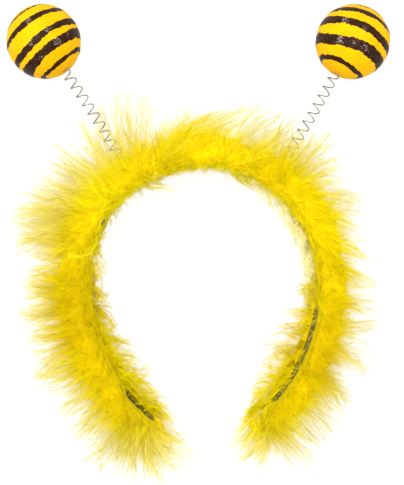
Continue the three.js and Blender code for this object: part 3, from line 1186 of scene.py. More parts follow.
@dataclass
class FeatherTrim:
    """The marabou trim round the outside of the band.

    Attributes:
        shape: How far it reaches.
        locks: The longer locks outside: share of the way, lean in degrees, length, paleness and plumes.
        inner_locks: The longer locks over the head: the same, and the share of plumes in front.
        plumes: How many plumes grow along the band.
        tip_plumes: How many more fan out past each tip.
        wisps: How many loose plumes reach in over the head.
        threads: How many single threads cross the bare band.
        barbs: How many barbs each plume has.
        tufts: How many short strands lie next to the band.
        steps: How many points a strand has.
        barb_width: A barb's width at its root.
        heart_reach: The most that the matted heart stands out.
        heart_end: How far the heart's rounded ends stand past the tips.
        root_reach: How far from the band's outer face the quills start, in x, y and z.
        droop: How far a plume sinks at its tip, for each square millimetre of its length.
        pieces: How many pieces the strands are split into along the band.
        seed: The seed of the down.
    """

    shape: TrimShape
    locks: tuple
    inner_locks: tuple
    plumes: int = 2960
    tip_plumes: int = 70
    wisps: int = 380
    threads: int = 190
    barbs: int = 30
    tufts: int = 10800
    steps: int = 4
    barb_width: float = 0.17
    heart_reach: float = 13.0
    heart_end: float = 7.0
    root_reach: tuple = (1.6, 1.6, 5.3)
    droop: float = 0.0022
    pieces: int = 6
    seed: int = 7

    def quills(self, rng: np.random.Generator, grown: PlumeSeeds) -> PlumeBundle:
        """Lays out the quills of some plumes.

        Args:
            rng: The seeded random numbers.
            grown: Where the plumes grow and how they lie.

        Returns:
            The quills.
        """
        line, count = self.shape.line, len(grown.home)
        place, outward, along = line.axes(grown.home)
        lean, size = grown.lean[:, None], grown.size[:, None]
        base = place + outward * line.thickness
        away = round_section(outward, grown.angle)
        start = base + away * np.array(self.root_reach)
        end = base + (away * np.cos(lean) + along * np.sin(lean)) * size
        end[:, 2] -= self.droop * grown.size**2
        arched = round_section(outward, grown.angle + np.where(grown.angle > 0, 1, -1) * grown.arch)
        bulge = rng.normal(0, 0.1, (count, 3)) + arched * 0.5 + along * np.sin(lean) * 0.22
        bend = start + bulge * size
        tint = self.shape.tints(grown.home, rng)
        return PlumeBundle(np.stack([start, bend, end], 1), grown.size, tint, grown.pale, grown.home)

    def outer_plumes(self, rng: np.random.Generator) -> PlumeBundle:
        """Lays out the plumes that stand out all along the band.

        Args:
            rng: The seeded random numbers.

        Returns:
            The plumes' quills.
        """
        shape, count = self.shape, self.plumes
        share = np.interp(rng.uniform(0, 1, count), [0, 0.25, 0.44, 1], [0, 0.29, 0.41, 1])
        home = shape.line.at(share)
        angle = np.radians(np.interp(rng.uniform(0, 1, count), [0, 0.3, 0.75, 1], [-125, -50, 60, 118]))
        lean = np.radians(shape.table(shape.lean, share) + rng.normal(0, 17, count))
        tip = home + 0.75 * np.sin(lean) * shape.limit(angle, share)
        longer, aside = shape.tufted(angle, home)
        size = shape.limit(angle, np.clip(shape.line.share(tip), 0, 1)) * longer
        size = size * np.clip(rng.normal(0.69, 0.15, count), 0.3, 1.0)
        arch = np.radians(rng.normal(32, 18, count)) * np.where(rng.uniform(0, 1, count) < 0.2, -0.5, 1.0)
        return self.quills(rng, PlumeSeeds(home, angle, size, lean + aside, arch, np.full(count, 0.8)))

    def lock_rows(self, locks: tuple) -> tuple[np.ndarray, int]:
        """Spreads a table of locks out to its plumes.

        Args:
            locks: The locks, each with its number of plumes in the fifth column.

        Returns:
            A row for each plume, and how many plumes there are.
        """
        rows = np.array(locks)
        rows = np.repeat(rows, rows[:, 4].astype(int), 0)
        return rows, len(rows)

    def lock_plumes(self, rng: np.random.Generator) -> PlumeBundle:
        """Lays out the longer locks that stand out of the rest.

        Args:
            rng: The seeded random numbers.

        Returns:
            The plumes' quills.
        """
        rows, count = self.lock_rows(self.locks)
        home = self.shape.line.at(rows[:, 0]) + rng.normal(0, 2.2, count)
        angle = np.radians(rng.normal(8, 26, count))
        lean = np.radians(rows[:, 1] + rng.normal(0, 5.5, count))
        size = rows[:, 2] * np.clip(rng.normal(0.88, 0.13, count), 0.5, 1.05)
        arch = np.radians(rng.normal(14, 10, count))
        return self.quills(rng, PlumeSeeds(home, angle, size, lean, arch, rows[:, 3]))

    def inner_lock_plumes(self, rng: np.random.Generator) -> PlumeBundle:
        """Lays out the longer locks that reach in over the head.

        Args:
            rng: The seeded random numbers.

        Returns:
            The plumes' quills.
        """
        rows, count = self.lock_rows(self.inner_locks)
        home = self.shape.line.at(rows[:, 0]) + rng.normal(0, 2.6, count)
        front = rng.uniform(0, 1, count) < rows[:, 5]
        angle = np.radians(np.where(front, rng.uniform(140, 168, count), rng.uniform(-188, -150, count)))
        lean = np.radians(rows[:, 1] + rng.normal(0, 8, count))
        size = rows[:, 2] * rng.uniform(0.6, 0.95, count)
        arch = np.radians(rng.normal(-14, 9, count))
        return self.quills(rng, PlumeSeeds(home, angle, size, lean, arch, rows[:, 3]))

    def tip_fans(self, rng: np.random.Generator) -> PlumeBundle:
        """Lays out the plumes that fan out past the band's tips.

        Args:
            rng: The seeded random numbers.

        Returns:
            The plumes' quills.
        """
        shape, count = self.shape, 2 * self.tip_plumes
        side = np.repeat([-1.0, 1.0], self.tip_plumes)
        home = side * (shape.line.half_length - rng.uniform(0, 9, count))
        angle = np.radians(rng.uniform(-130, 120, count))
        lean = side * np.radians(rng.uniform(5, 88, count))
        size = shape.limit(angle, shape.line.share(home)) * rng.uniform(0.55, 1.0, count)
        size = size * np.cos(lean) ** 2 + rng.uniform(14, 30, count) * np.sin(lean) ** 2
        arch = np.radians(rng.normal(15, 20, count))
        return self.quills(rng, PlumeSeeds(home, angle, size, lean, arch, np.full(count, 0.9)))

    def inner_wisps(self, rng: np.random.Generator) -> PlumeBundle:
        """Lays out the pale loose plumes that reach in over the head.

        Args:
            rng: The seeded random numbers.

        Returns:
            The plumes' quills.
        """
        shape, count = self.shape, self.wisps
        home = np.interp(rng.uniform(0, 1, count), [0, 0.45, 0.58, 1], [-1, -0.4, 0.34, 1]) * shape.line.half_length
        front = rng.uniform(0, 1, count) < shape.table(shape.crossing, shape.line.share(home))
        angle = np.radians(np.where(front, rng.uniform(125, 165, count), rng.uniform(-185, -125, count)))
        share = shape.line.share(home)
        size = 4.0 + shape.inside * shape.table(shape.stations, share, 2) * rng.uniform(0.7, 1.35, count)
        lean = np.radians(shape.table(shape.lean, share) * 0.8 + rng.normal(0, 32, count))
        arch = np.radians(rng.normal(-22, 14, count))
        return self.quills(rng, PlumeSeeds(home, angle, size, lean, arch, shape.table(shape.wispy, share)))

    def barb_strands(self, bundle: PlumeBundle, rng: np.random.Generator, fullness: float) -> Strands:
        """Grows the barbs on both sides of the quills.

        Args:
            bundle: The quills.
            rng: The seeded random numbers.
            fullness: How long and how far open the barbs are, 1 for full plumes.

        Returns:
            The barbs.
        """
        count, barbs = len(bundle.size), self.barbs
        way = np.clip(np.linspace(0.04, 0.97, barbs)[None] + rng.normal(0, 0.02, (count, barbs)), 0, 1)
        root, tangent = bundle.at(way)
        roll = rng.normal(size=(count, 1, 3)) + rng.normal(size=(count, barbs, 3)) * 0.3
        side = across(roll, tangent) * np.where(np.arange(barbs) % 2, 1.0, -1.0)[None, :, None]
        degrees = np.interp(way, [0, 0.5, 1], [60, 40, 15])
        open_angle = np.radians(degrees * rng.uniform(0.75, 1.2, way.shape) * fullness)
        away = tangent * np.cos(open_angle)[..., None] + side * np.sin(open_angle)[..., None]
        length = np.interp(way, [0, 0.4, 1], [0.72, 0.62, 0.28]) * rng.uniform(0.65, 1.15, way.shape)
        length = length * bundle.size[:, None] * fullness
        curl = rng.normal(size=(count, barbs, 3)) * 0.12
        s = np.linspace(0, 1, self.steps)
        tip = away * 0.66 + tangent * 0.36 + curl
        grown = away[..., None, :] * (s * (1 - s))[:, None] + tip[..., None, :] * (s**2)[:, None]
        ripple = np.sin(2 * math.pi * (s * 1.2 + rng.uniform(0, 1, (count, barbs, 1)))) * s * 0.035
        grown = grown + across(curl, away)[..., None, :] * ripple[..., None]
        points = (root[..., None, :] + grown * length[..., None, None]).reshape(-1, self.steps, 3)
        width = np.full(len(points), self.barb_width) * rng.uniform(0.7, 1.25, len(points))
        tint = np.clip(np.repeat(bundle.tint, barbs) + rng.normal(0, 0.05, len(points)), 0, 1)
        return Strands(points, width, tint, np.repeat(bundle.pale, barbs), np.repeat(bundle.home, barbs))

    def quill_strands(self, bundle: PlumeBundle) -> Strands:
        """Lays the quills themselves as thicker strands.

        Args:
            bundle: The quills.

        Returns:
            The strands.
        """
        way = np.broadcast_to(np.linspace(0, 0.92, self.steps), (len(bundle.size), self.steps))
        width = np.full(len(way), self.barb_width * 1.8)
        return Strands(bundle.at(way)[0], width, bundle.tint, bundle.pale, bundle.home)

    def tuft_strands(self, rng: np.random.Generator) -> Strands:
        """Grows the short strands that lie next to the band and cover the down's heart.

        Args:
            rng: The seeded random numbers.

        Returns:
            The strands.
        """
        shape, line, count = self.shape, self.shape.line, self.tufts
        home = rng.uniform(-line.half_length - 2, line.half_length + 2, count)
        angle = np.radians(np.interp(rng.uniform(0, 1, count), [0, 0.27, 0.74, 1], [-125, 5, 92, 134]))
        place, outward, along = line.axes(home)
        away = round_section(outward, angle)
        size = shape.limit(angle, line.share(home))
        depth = self.heart_size(home, angle) * rng.uniform(0.8, 1.02, count)
        start = place + outward * line.thickness + away * depth[:, None]
        flow = unit(away * rng.uniform(0.35, 0.95, (count, 1)) + along * rng.normal(0, 0.65, (count, 1)))
        flow = unit(flow + rng.normal(size=(count, 3)) * 0.2)
        length = rng.uniform(5, 11, count) * np.clip(size / 20, 0.4, 1.2)
        s = np.linspace(0, 1, self.steps)[None, :, None]
        points = start[:, None] + flow[:, None] * s * length[:, None, None]
        points = points + (rng.normal(size=(count, 1, 3)) * 0.2) * s**2 * length[:, None, None]
        tint = shape.tints(home, rng)
        return Strands(points, rng.uniform(0.15, 0.26, count), tint, np.full(count, 0.3), home)

    def thread_strands(self, rng: np.random.Generator) -> Strands:
        """Lays single pale threads slantwise over the bare part of the band.

        Args:
            rng: The seeded random numbers.

        Returns:
            The threads.
        """
        line, count = self.shape.line, self.threads
        share = np.interp(rng.uniform(0, 1, count), [0, 0.06, 0.07, 0.65, 1], [0.31, 0.34, 0.69, 0.81, 0.97])
        home = line.at(share)
        s = np.linspace(-1, 1, self.steps)[None]
        slant = rng.normal(5.0, 2.0, (count, 1)) * np.where(rng.uniform(0, 1, (count, 1)) < 0.2, -0.6, 1.0)
        out = 0.4 - s * rng.uniform(1.6, 4.0, (count, 1)) + rng.normal(0, 0.7, (count, 1))
        up = line.width / 2 + rng.uniform(0.5, 1.6, (count, 1)) - 0.5 * s**2
        points = line.place(home[:, None] + s * slant, out, up)
        tint = np.clip(rng.normal(0.6, 0.2, count), 0, 1)
        return Strands(points, rng.uniform(0.12, 0.26, count), tint, np.full(count, 1.0), home)

    def strands(self) -> Strands:
        """Grows all the strands and lets them settle.

        Returns:
            Every strand of the trim.
        """
        rng = np.random.default_rng(self.seed)
        groups = []
        for bundle, loose_share, fullness in (
            (self.outer_plumes(rng), 0.025, 0.85),
            (self.lock_plumes(rng), 0.3, 0.62),
            (self.tip_fans(rng), 0.15, 0.8),
            (self.inner_wisps(rng), 1.0, 0.9),
            (self.inner_lock_plumes(rng), 1.0, 0.6),
        ):
            grown = Strands.joined([self.barb_strands(bundle, rng, fullness), self.quill_strands(bundle)])
            loose = rng.uniform(0, 1, len(grown.width)) < loose_share
            grown.points = self.shape.settle(grown.points, loose)
            groups.append(grown)
        tufts = self.tuft_strands(rng)
        tufts.points = self.shape.settle(tufts.points, np.zeros(len(tufts.width), bool))
        return Strands.joined([*groups, tufts, self.thread_strands(rng)])

    def dress_strands(self, material: bpy.types.Material) -> list[bpy.types.Object]:
        """Builds the strands in several pieces along the band.

        Args:
            material: The down.

        Returns:
            The pieces.
        """
        grown = self.strands()
        length = self.shape.line.half_length + 3
        number = np.clip(((grown.home / length + 1) / 2 * self.pieces).astype(int), 0, self.pieces - 1)
        made = []
        for i in range(self.pieces):
            parts = grown.part(number == i).ribbons(self.shape.line, self.seed + i)
            made.append(parts.build(f"feather_plumes_{i + 1}", material))
        return made

    def heart_size(self, distance: np.ndarray, angle: np.ndarray) -> np.ndarray:
        """Finds how thick the matted heart is.

        Args:
            distance: How far along the band.
            angle: The angle round the section.

        Returns:
            Its reach from the band's outer face.
        """
        share = np.clip(self.shape.line.share(distance), 0, 1)
        cos, sin = np.cos(angle), np.sin(angle)
        size = np.minimum(self.shape.limit(angle, share) * np.where(cos > 0, 0.5, 0.42), self.heart_reach)
        size = size * (1 - 0.4 * smooth_step((np.abs(share - 0.5) - 0.42) / 0.08))
        places = np.stack(np.broadcast_arrays(distance / 5.0, 2.4 * cos, 2.4 * sin), -1)
        return size * (1 + 0.13 * Waves(seed=23, dimensions=3, octaves=6).at(places))

    def heart_parts(self) -> MeshParts:
        """Builds the matted heart of the trim, open over the band.

        Returns:
            The heart's mesh.
        """
        shape, line, length = self.shape, self.shape.line, self.shape.line.half_length
        dome = np.linspace(0, math.pi / 2, 9)[1:-1]
        body = np.linspace(-length, length, 290)
        past = np.concatenate([-dome[::-1], np.zeros(len(body)), dome])
        distance = np.concatenate([np.full(len(dome), -length), body, np.full(len(dome), length)])
        distance = distance + np.sin(past) * self.heart_end
        angle = np.radians(np.linspace(128, -158, 42))
        share = np.clip(line.share(distance), 0, 1)[:, None]
        size = self.heart_size(distance[:, None], angle[None]) * np.cos(past)[:, None]
        out, up = line.thickness + size * np.cos(angle), size * np.sin(angle)
        inner = np.where(up > 0, shape.table(shape.front, share), shape.table(shape.behind, share))
        out = np.maximum(out, -np.maximum(inner, 0) * 0.6 + 0.5)
        edge, narrowed = line.width / 2 + 0.45, np.cos(past)[:, None]
        beside = np.where(up > 0, 1, -1) * np.maximum(np.abs(up), edge * narrowed**0.3)
        up = np.where(out < line.thickness + 0.3, beside, up)
        closing = np.array([[0.3 - edge, 0.0, edge - 0.3]])
        out = np.concatenate([out, np.full((len(out), 3), line.thickness + 0.2)], 1)
        up = np.concatenate([up, closing * narrowed**0.5], 1)
        out = out + np.clip(up, -6, 6) * np.tan(line.turned_up(distance))[:, None]
        points = line.place(np.broadcast_to(distance[:, None], out.shape), out, up)
        points[..., 2] = np.maximum(points[..., 2], 0.4)
        parts = closed_loft(points, points[0].mean(0), points[-1].mean(0), turned=True)
        along = np.append(np.repeat(distance, out.shape[1]), [-length, length])
        parts.values = {"tone": shape.tints(along, np.random.default_rng(self.seed))}
        return parts

    def dress(self, strand: bpy.types.Material, heart: bpy.types.Material) -> list[bpy.types.Object]:
        """Builds the whole trim.

        Args:
            strand: The down of the strands.
            heart: The matted down inside.

        Returns:
            The pieces.
        """
        pieces = [self.heart_parts().build("feather_heart", heart), *self.dress_strands(strand)]
        for piece in pieces:
            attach(piece, Body.HEADBAND.value)
            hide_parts("feather_trim")
        return pieces


OUTER_LOCKS = (
    (0.443, 37, 39, 0.85, 11), (0.449, 64, 44, 0.25, 48), (0.488, 49, 46, 0.85, 18), (0.535, 33, 41, 0.9, 18),
    (0.568, 19, 39, 0.85, 13), (0.414, 19, 47, 0.9, 15), (0.396, 18, 50, 0.9, 18), (0.431, 21, 56, 0.95, 9),
    (0.383, 8, 46, 0.85, 15), (0.372, -4, 44, 0.85, 24), (0.357, -9, 41, 0.8, 27), (0.338, -14, 40, 0.8, 27),
    (0.327, -22, 48, 0.85, 30), (0.314, -17, 50, 0.8, 30), (0.296, -22, 47, 0.85, 33), (0.282, -7, 37, 0.8, 25),
    (0.275, -15, 28, 0.8, 20), (0.236, 2, 30, 0.3, 38), (0.213, 7, 34, 0.6, 36), (0.197, 2, 36, 0.6, 38),
    (0.167, 3, 33, 0.4, 40), (0.149, -6, 34, 0.35, 34), (0.125, 5, 39, 0.6, 24), (0.103, 9, 36, 0.7, 22),
    (0.082, 5, 35, 0.8, 24), (0.06, 1, 37, 0.8, 22), (0.038, 9, 36, 0.7, 22), (0.028, -1, 42, 0.9, 14),
    (0.023, -9, 33, 0.9, 22), (0.017, -24, 35, 0.95, 24), (0.006, -43, 34, 0.95, 27), (0.002, -66, 32, 0.95, 22),
    (0.0, -88, 34, 0.95, 11), (0.0, -102, 19, 0.8, 16), (0.606, 0, 33, 0.4, 30), (0.399, 6, 27, 0.6, 12),
    (0.618, 2, 41, 0.6, 15), (0.625, 18, 43, 0.6, 18),
    (0.636, 20, 35, 0.6, 18), (0.655, 35, 39, 0.7, 18), (0.68, 38, 33, 0.7, 22), (0.718, 29, 32, 0.6, 24),
    (0.748, 31, 30, 0.6, 22), (0.799, 8, 29, 0.7, 20), (0.836, -13, 36, 0.75, 15), (0.86, 4, 38, 0.7, 15),
    (0.893, 19, 37, 0.65, 18), (0.909, 3, 33, 0.65, 15), (0.939, 6, 35, 0.7, 18), (0.958, 9, 36, 0.75, 15),
    (0.985, -5, 39, 0.8, 18), (1.0, -2, 34, 0.8, 18), (1.0, 40, 27, 0.75, 15), (1.0, 63, 25, 0.8, 15),
    (1.0, 86, 19, 0.85, 13),
)
INNER_LOCKS = (
    (0.272, -27, 26, 0.7, 6, 1.0), (0.22, -22, 16, 0.7, 12, 0.5), (0.187, -38, 20, 0.7, 12, 0.4),
    (0.151, -29, 26, 0.8, 10, 0.4), (0.11, -26, 24, 0.6, 14, 0.5), (0.075, -38, 23, 0.5, 14, 0.1),
    (0.03, -43, 22, 0.7, 12, 0.0), (0.415, 30, 15, 0.9, 14, 0.6), (0.42, 19, 26, 0.95, 5, 0.6),
    (0.555, 58, 19, 0.9, 18, 0.5), (0.608, 31, 19, 0.95, 14, 0.5), (0.636, 49, 21, 0.95, 14, 0.5),
    (0.678, 37, 20, 0.95, 18, 0.5), (0.727, 43, 19, 0.95, 18, 0.5), (0.787, 2, 18, 0.85, 14, 0.3),
    (0.833, 11, 26, 0.8, 10, 0.2), (0.877, 24, 31, 0.8, 8, 0.2), (0.919, 49, 21, 0.7, 12, 0.3),
    (0.977, 82, 20, 0.7, 14, 0.3),
)


# ---------------------------------------------------------------------------------------------------------
# The antennas
# ---------------------------------------------------------------------------------------------------------


@dataclass
class Antenna:
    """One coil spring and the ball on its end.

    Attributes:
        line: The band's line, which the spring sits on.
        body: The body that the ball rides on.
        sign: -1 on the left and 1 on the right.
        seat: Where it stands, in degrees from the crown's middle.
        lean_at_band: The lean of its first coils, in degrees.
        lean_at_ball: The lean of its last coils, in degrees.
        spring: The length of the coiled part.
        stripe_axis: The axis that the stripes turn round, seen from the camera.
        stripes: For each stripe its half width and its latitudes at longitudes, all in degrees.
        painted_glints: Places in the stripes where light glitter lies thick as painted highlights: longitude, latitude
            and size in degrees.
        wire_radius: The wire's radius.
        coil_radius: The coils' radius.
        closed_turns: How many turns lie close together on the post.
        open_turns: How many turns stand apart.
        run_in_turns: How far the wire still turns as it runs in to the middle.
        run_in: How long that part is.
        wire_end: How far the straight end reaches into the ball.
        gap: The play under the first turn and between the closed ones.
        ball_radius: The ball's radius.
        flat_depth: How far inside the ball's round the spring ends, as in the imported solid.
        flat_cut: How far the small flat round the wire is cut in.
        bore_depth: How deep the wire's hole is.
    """

    line: BandLine
    body: Body
    sign: int
    seat: float
    lean_at_band: float
    lean_at_ball: float
    spring: float
    stripe_axis: tuple
    stripes: tuple
    painted_glints: tuple
    wire_radius: float = 0.32
    coil_radius: float = 2.7
    closed_turns: float = 2.0
    open_turns: float = 12.0
    run_in_turns: float = 0.6
    run_in: float = 2.6
    wire_end: float = 7.0
    gap: float = 0.3
    ball_radius: float = 20.0
    flat_depth: float = 2.0
    flat_cut: float = 0.7
    bore_depth: float = 7.3

    def __post_init__(self) -> None:
        """Places the antenna on the band."""
        self.name = "left" if self.sign < 0 else "right"
        place, outward, _ = self.line.axes(np.array(self.sign * math.radians(self.seat) * self.line.crown_radius))
        self.foot = place + outward * self.line.thickness
        lean = self.sign * math.radians(self.lean_at_band)
        self.first = np.array([math.sin(lean), math.cos(lean), 0.0])
        self.beside = np.array([math.cos(lean), -math.sin(lean), 0.0])

    def axis(self, distance: np.ndarray) -> tuple[np.ndarray, np.ndarray, np.ndarray]:
        """Finds places on the antenna's middle line.

        Args:
            distance: How far from the band.

        Returns:
            The places, the direction along the line and the direction aside, to the right.
        """
        bend = math.radians(self.lean_at_ball - self.lean_at_band) / self.spring
        turned = (bend * distance)[..., None]
        forward, aside = np.sin(turned) / bend, self.sign * (1 - np.cos(turned)) / bend
        place = self.foot + forward * self.first + aside * self.beside
        ahead = np.cos(turned) * self.first + self.sign * np.sin(turned) * self.beside
        sideways = np.cos(turned) * self.beside - self.sign * np.sin(turned) * self.first
        return place, ahead, sideways

    def wire_parts(self) -> MeshParts:
        """Builds the wire: closed coils, open coils and the straight end in the ball.

        Returns:
            The wire's mesh.
        """
        shares = [0, 0.14, 0.94, 0.98, 1]
        start = self.gap + self.wire_radius
        closed = start + self.closed_turns * (2 * self.wire_radius + self.gap)
        coiled = self.closed_turns + self.open_turns
        turns = [0, self.closed_turns, coiled, coiled + self.run_in_turns, coiled + self.run_in_turns]
        ends = [self.spring - self.run_in, self.spring - self.wire_radius, self.spring + self.wire_end]
        share = np.concatenate([np.linspace(0, 0.98, 620), np.linspace(0.98, 1, 12)[1:]])
        angle = 2 * math.pi * np.interp(share, shares, turns)
        radius = self.coil_radius * (1 - smooth_step((share - 0.93) / 0.05))
        middle, _, aside = self.axis(np.interp(share, shares, [start, closed, *ends]))
        spoke = round_section(aside, angle)
        points = middle + spoke * radius[:, None]
        tangent = unit(np.gradient(points, axis=0))
        normal = across(spoke, tangent)
        wall = points[:, None] + circle(10, normal, np.cross(tangent, normal)) * self.wire_radius
        return closed_loft(wall, points[0] - tangent[0] * 0.1, points[-1])

    def stripe_values(self, ways: np.ndarray, camera: np.ndarray, centre: np.ndarray) -> dict[str, np.ndarray]:
        """Works out the stripes for directions from the ball's centre.

        Args:
            ways: Directions of length 1, of shape (n, 3).
            camera: Where the camera stands.
            centre: The ball's centre.

        Returns:
            The depth inside a stripe in millimetres, the stroke's two coordinates and the thickness of the painted
            glints.
        """
        toward, roll = unit(camera - centre), math.radians(Studio.roll)
        right = across(np.array([math.cos(roll), math.sin(roll), 0.0]), toward)
        top = np.cross(toward, right)
        axis = unit(np.array(self.stripe_axis) @ np.stack([right, top, toward]))
        front = across(toward, axis)
        side = np.cross(axis, front)
        longitude = np.degrees(np.arctan2(ways @ side, ways @ front))
        latitude = np.degrees(np.arcsin(np.clip(ways @ axis, -1, 1)))
        wobble = Waves(seed=60 + self.sign, dimensions=2, octaves=4)
        circle = np.arange(-180, 181, 3.0)
        spread = np.exp(-0.5 * (np.arange(-8, 9) * 3 / 9.0) ** 2)
        spread /= spread.sum()
        best = np.full(len(ways), -9.0)
        for number, (half, places) in enumerate(self.stripes):
            known = [place[0] for place in places]
            level = np.interp(circle, known, [place[1] for place in places], period=360)
            level = np.convolve(np.concatenate([level[-9:-1], level, level[1:9]]), spread, "valid")
            around = np.stack([np.cos(np.radians(longitude)), np.sin(np.radians(longitude))], -1) * 2.2 + number
            width = half * (1 + 0.16 * wobble.at(around))
            best = np.maximum(best, width - np.abs(latitude - np.interp(longitude, circle, level)))
        degree = self.ball_radius * math.pi / 180
        # Painted glints: patches of thick light glitter at set places, which paint highlights on the stripes.
        thick = np.zeros(len(ways))
        for place in self.painted_glints:
            apart = np.hypot((longitude - place[0]) * np.cos(np.radians(latitude)), latitude - place[1])
            thick = np.maximum(thick, 1 - smooth_step(apart / place[2]))
        return {
            "stripe": best * degree,
            "stroke_along": longitude * degree,
            "stroke_across": latitude * degree,
            "glitter": thick,
        }

    def ball_parts(self, camera: np.ndarray) -> MeshParts:
        """Builds the ball, with its flat, its bore and the thickness of its paint.

        Args:
            camera: Where the camera stands, for the side that the stripes are known from.

        Returns:
            The ball's mesh.
        """
        flat = self.flat_cut - self.ball_radius
        bore, bottom = self.wire_radius + 0.1, flat + self.bore_depth
        place, ahead, aside = self.axis(np.array(self.spring))
        centre = place + ahead * (self.ball_radius - self.flat_depth)
        rise = np.linspace(math.asin(flat / self.ball_radius), math.pi / 2, 108)[:-1]
        radii = np.concatenate([[bore, bore, bore + 0.15, 2.0, 3.6, 4.8], self.ball_radius * np.cos(rise)])
        heights = np.concatenate([[bottom, flat + 0.3, *[flat] * 4], self.ball_radius * np.sin(rise)])
        walls = heights[:, None, None] * ahead + radii[:, None, None] * circle(216, aside, UP)
        parts = closed_loft(walls, ahead * bottom, ahead * self.ball_radius, turned=True)
        ways = unit(parts.points)
        parts.values = self.stripe_values(ways, camera, centre)
        dents = Waves(seed=80 + self.sign, dimensions=3, octaves=5).at(parts.points / 2.2)
        on_ball = (np.linalg.norm(parts.points, axis=1) > self.ball_radius - 0.01)[:, None]
        raised = 0.12 * smooth_step((parts.values["stripe"] + 0.25) / 0.5) + 0.05 * dents - 0.2
        parts.points = parts.points + ways * raised[:, None] * on_ball + centre
        return parts

    def dress(self, wire: bpy.types.Material, foam: bpy.types.Material, camera: np.ndarray) -> list:
        """Builds the spring and the ball.

        Args:
            wire: The spring's steel.
            foam: The painted foam.
            camera: Where the camera stands.

        Returns:
            The pieces.
        """
        spring = self.wire_parts().build(f"{self.name}_coil", wire)
        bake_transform(spring)
        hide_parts(f"{self.name}_spring")
        ball = self.ball_parts(camera).build(f"{self.name}_striped_ball", foam)
        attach(ball, self.body.value)
        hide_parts(f"{self.name}_ball")
        return [spring, ball]


LEFT_LIE = {
    "seat": 34.1,
    "lean_at_band": 26.5,
    "lean_at_ball": 33.9,
    "spring": 72.8,
    "stripe_axis": (-0.569, 0.755, -0.326),
}
RIGHT_LIE = {
    "seat": 35.9,
    "lean_at_band": 35.0,
    "lean_at_ball": 30.0,
    "spring": 70.2,
    "stripe_axis": (0.347, 0.86, -0.375),
}
# Painted glints on each ball's stripes, as painted highlights: longitude, latitude and size in degrees.
LEFT_PAINTED_GLINTS = ((1, 22, 9), (16, -7, 9), (-17, -8, 8), (20, -30, 11), (-22, -34, 7), (44, -27, 6))
RIGHT_PAINTED_GLINTS = ((-23, 7, 11), (-21, -25, 10), (23, -22, 10), (8, 6, 5), (3, -23, 5))
LEFT_STRIPES = (
    (2.7, ((-64, 51.5), (-30, 50.5), (0, 50.0), (25, 48.5), (51, 47.0), (120, 51.0), (-120, 53.0))),
    (4.1, ((-58, 23.5), (-27, 23.0), (0, 22.5), (27, 21.1), (49, 18.2), (77, 17.3), (130, 20.0), (-130, 22.0))),
    (3.7, ((-70, -7.2), (-41, -11.0), (-15, -9.7), (10, -8.0), (35, -8.4), (58, -8.7), (84, -7.6), (180, -7.0))),
    (6.5, ((-73, -28.7), (-38, -31.8), (-13, -29.6), (13, -31.2), (40, -30.3), (84, -25.9), (180, -28.0))),
    (3.1, ((-89, -51.5), (-31, -61.0), (16, -61.2), (53, -55.2), (93, -50.2), (180, -54.0))),
)
RIGHT_STRIPES = (
    (1.5, ((-90, 55.0), (-8, 54.0), (15, 57.0), (36, 56.0), (120, 57.0))),
    (4.4, ((-64, 27.4), (-42, 29.8), (-21, 32.4), (4, 34.0), (28, 34.9), (49, 31.2), (130, 32.0), (-130, 30.0))),
    (5.5, ((-78, 6.1), (-49, 4.5), (-23, 7.2), (-2, 7.6), (19, 7.1), (42, 4.1), (66, 2.6), (180, 5.0))),
    (7.5, ((-83, -20.4), (-43, -26.8), (-16, -25.1), (5, -22.7), (25, -20.8), (52, -21.9), (84, -21.7), (180, -23))),
    (3.4, ((-85, -51.7), (-48, -53.9), (-18, -55.2), (10, -58.1), (50, -59.9), (90, -55.1), (180, -55.0))),
)


# ---------------------------------------------------------------------------------------------------------
# The studio
# ---------------------------------------------------------------------------------------------------------


@dataclass
class SoftLight:
    """One soft area light.

    Attributes:
        name: The light's name.
        place: Where it hangs, in metres.
        size: Its side, in metres.
        power: Its power in watts.
        color: Its colour.
    """

    name: str
    place: tuple
    size: float
    power: float
    color: tuple = (1.0, 1.0, 1.0)

    def hang(self, target: Vector) -> None:
        """Hangs the light and turns it to the target.

        Args:
            target: The point that it shines on, in metres.
        """
        data = bpy.data.lights.new(self.name, "AREA")
        data.size, data.energy, data.color = self.size, self.power, self.color
        light = bpy.data.objects.new(self.name, data)
        light.location = self.place
        light.rotation_euler = (target - light.location).to_track_quat("-Z", "Y").to_euler()
        bpy.context.scene.collection.objects.link(light)


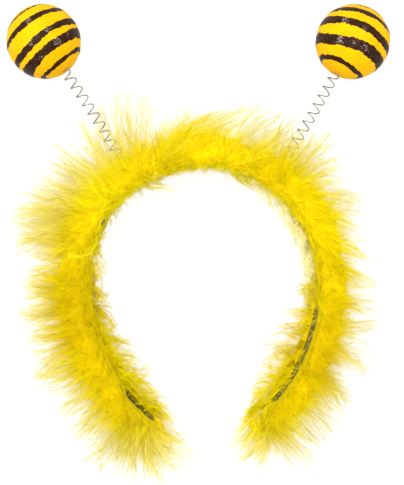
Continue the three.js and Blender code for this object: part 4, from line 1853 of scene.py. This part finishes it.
@dataclass
class Studio:
    """The camera, the lights and the pale floor.

    Attributes:
        camera_place: Where the camera stands, in metres.
        roll: The camera's roll in degrees.
        lens: The focal length for a frame 24 mm high.
        sky: The strength of the even light.
        lights: The soft lights.
    """

    camera_place: tuple = (-0.0006, -0.0048, 0.52)
    roll: float = -1.4
    lens: float = 45.8
    sky: float = 1.1
    lights: tuple = (
        SoftLight("top_softbox", (0.0, 0.05, 1.5), 1.3, 14.5, (1.0, 0.995, 0.98)),
        SoftLight("front_softbox", (-0.5, 0.4, 0.95), 0.8, 5.2, (1.0, 0.99, 0.97)),
    )

    def camera(self) -> None:
        """Makes the camera straight above, as the photograph was taken."""
        data = bpy.data.cameras.new("photo_camera")
        data.sensor_fit, data.sensor_height, data.lens = "VERTICAL", 24.0, self.lens
        data.clip_start, data.clip_end = 0.01, 20.0
        made = bpy.data.objects.new("photo_camera", data)
        made.location = self.camera_place
        made.rotation_euler = (0.0, 0.0, math.radians(self.roll))
        bpy.context.scene.collection.objects.link(made)
        bpy.context.scene.camera = made

    def light(self) -> None:
        """Hangs the lights and sets the even light."""
        for light in self.lights:
            light.hang(Vector((0.0, 0.0, 0.02)))
        world = bpy.data.worlds.new("studio_light")
        world.use_nodes = True
        background = world.node_tree.nodes["Background"]
        background.inputs["Color"].default_value = (1.0, 1.0, 1.0, 1)
        background.inputs["Strength"].default_value = self.sky
        bpy.context.scene.world = world
        bpy.context.scene.view_settings.view_transform = "Standard"

    def floor(self, material: bpy.types.Material) -> None:
        """Lays the pale floor, which isn't part of the headband.

        Args:
            material: The paper.
        """
        size, steps = 2600.0, 24
        side = np.linspace(-size, size, steps)
        x, y = np.meshgrid(side, side, indexing="ij")
        points = np.stack([x, y, np.zeros_like(x)], -1).reshape(-1, 3)
        made = MeshParts(points, grid_quads(steps, steps, closed=False)[:, ::-1]).build("floor", material)


def report(pieces: list[bpy.types.Object]) -> None:
    """Logs each piece with its faces."""
    for piece in pieces:
        LOG.info("%s: %d faces", piece.name, len(piece.data.polygons))


def main() -> None:
    """Builds the studio, the headband, its trim and its antennas."""
    logging.basicConfig(level=logging.INFO, format="%(name)s: %(message)s")
    studio = Studio()
    studio.camera()
    studio.light()
    effects = SharedEffects(unevenness_group(), down_colour_group())
    studio.floor(FloorPaper("floor_paper").material(effects))
    line = BandLine()
    plastic = GlossPlastic("black_gloss_plastic").material(effects)
    report(Strip(line).dress(plastic))
    strand = Down("yellow_down").material(effects)
    heart = DownHeart("matted_down").material(effects)
    report(FeatherTrim(TrimShape(line), OUTER_LOCKS, INNER_LOCKS).dress(strand, heart))
    wire = DrawnWire("drawn_steel_wire").material(effects)
    foam = StripedFoam("striped_foam").material(effects)
    camera = np.array(studio.camera_place) / MM
    for body, sign, lie, stripes, painted_glints in (
        (Body.LEFT, -1, LEFT_LIE, LEFT_STRIPES, LEFT_PAINTED_GLINTS),
        (Body.RIGHT, 1, RIGHT_LIE, RIGHT_STRIPES, RIGHT_PAINTED_GLINTS),
    ):
        report(Antenna(line, body, sign, stripes=stripes, painted_glints=painted_glints, **lie).dress(wire, foam, camera))


if __name__ == "__main__":
    main()
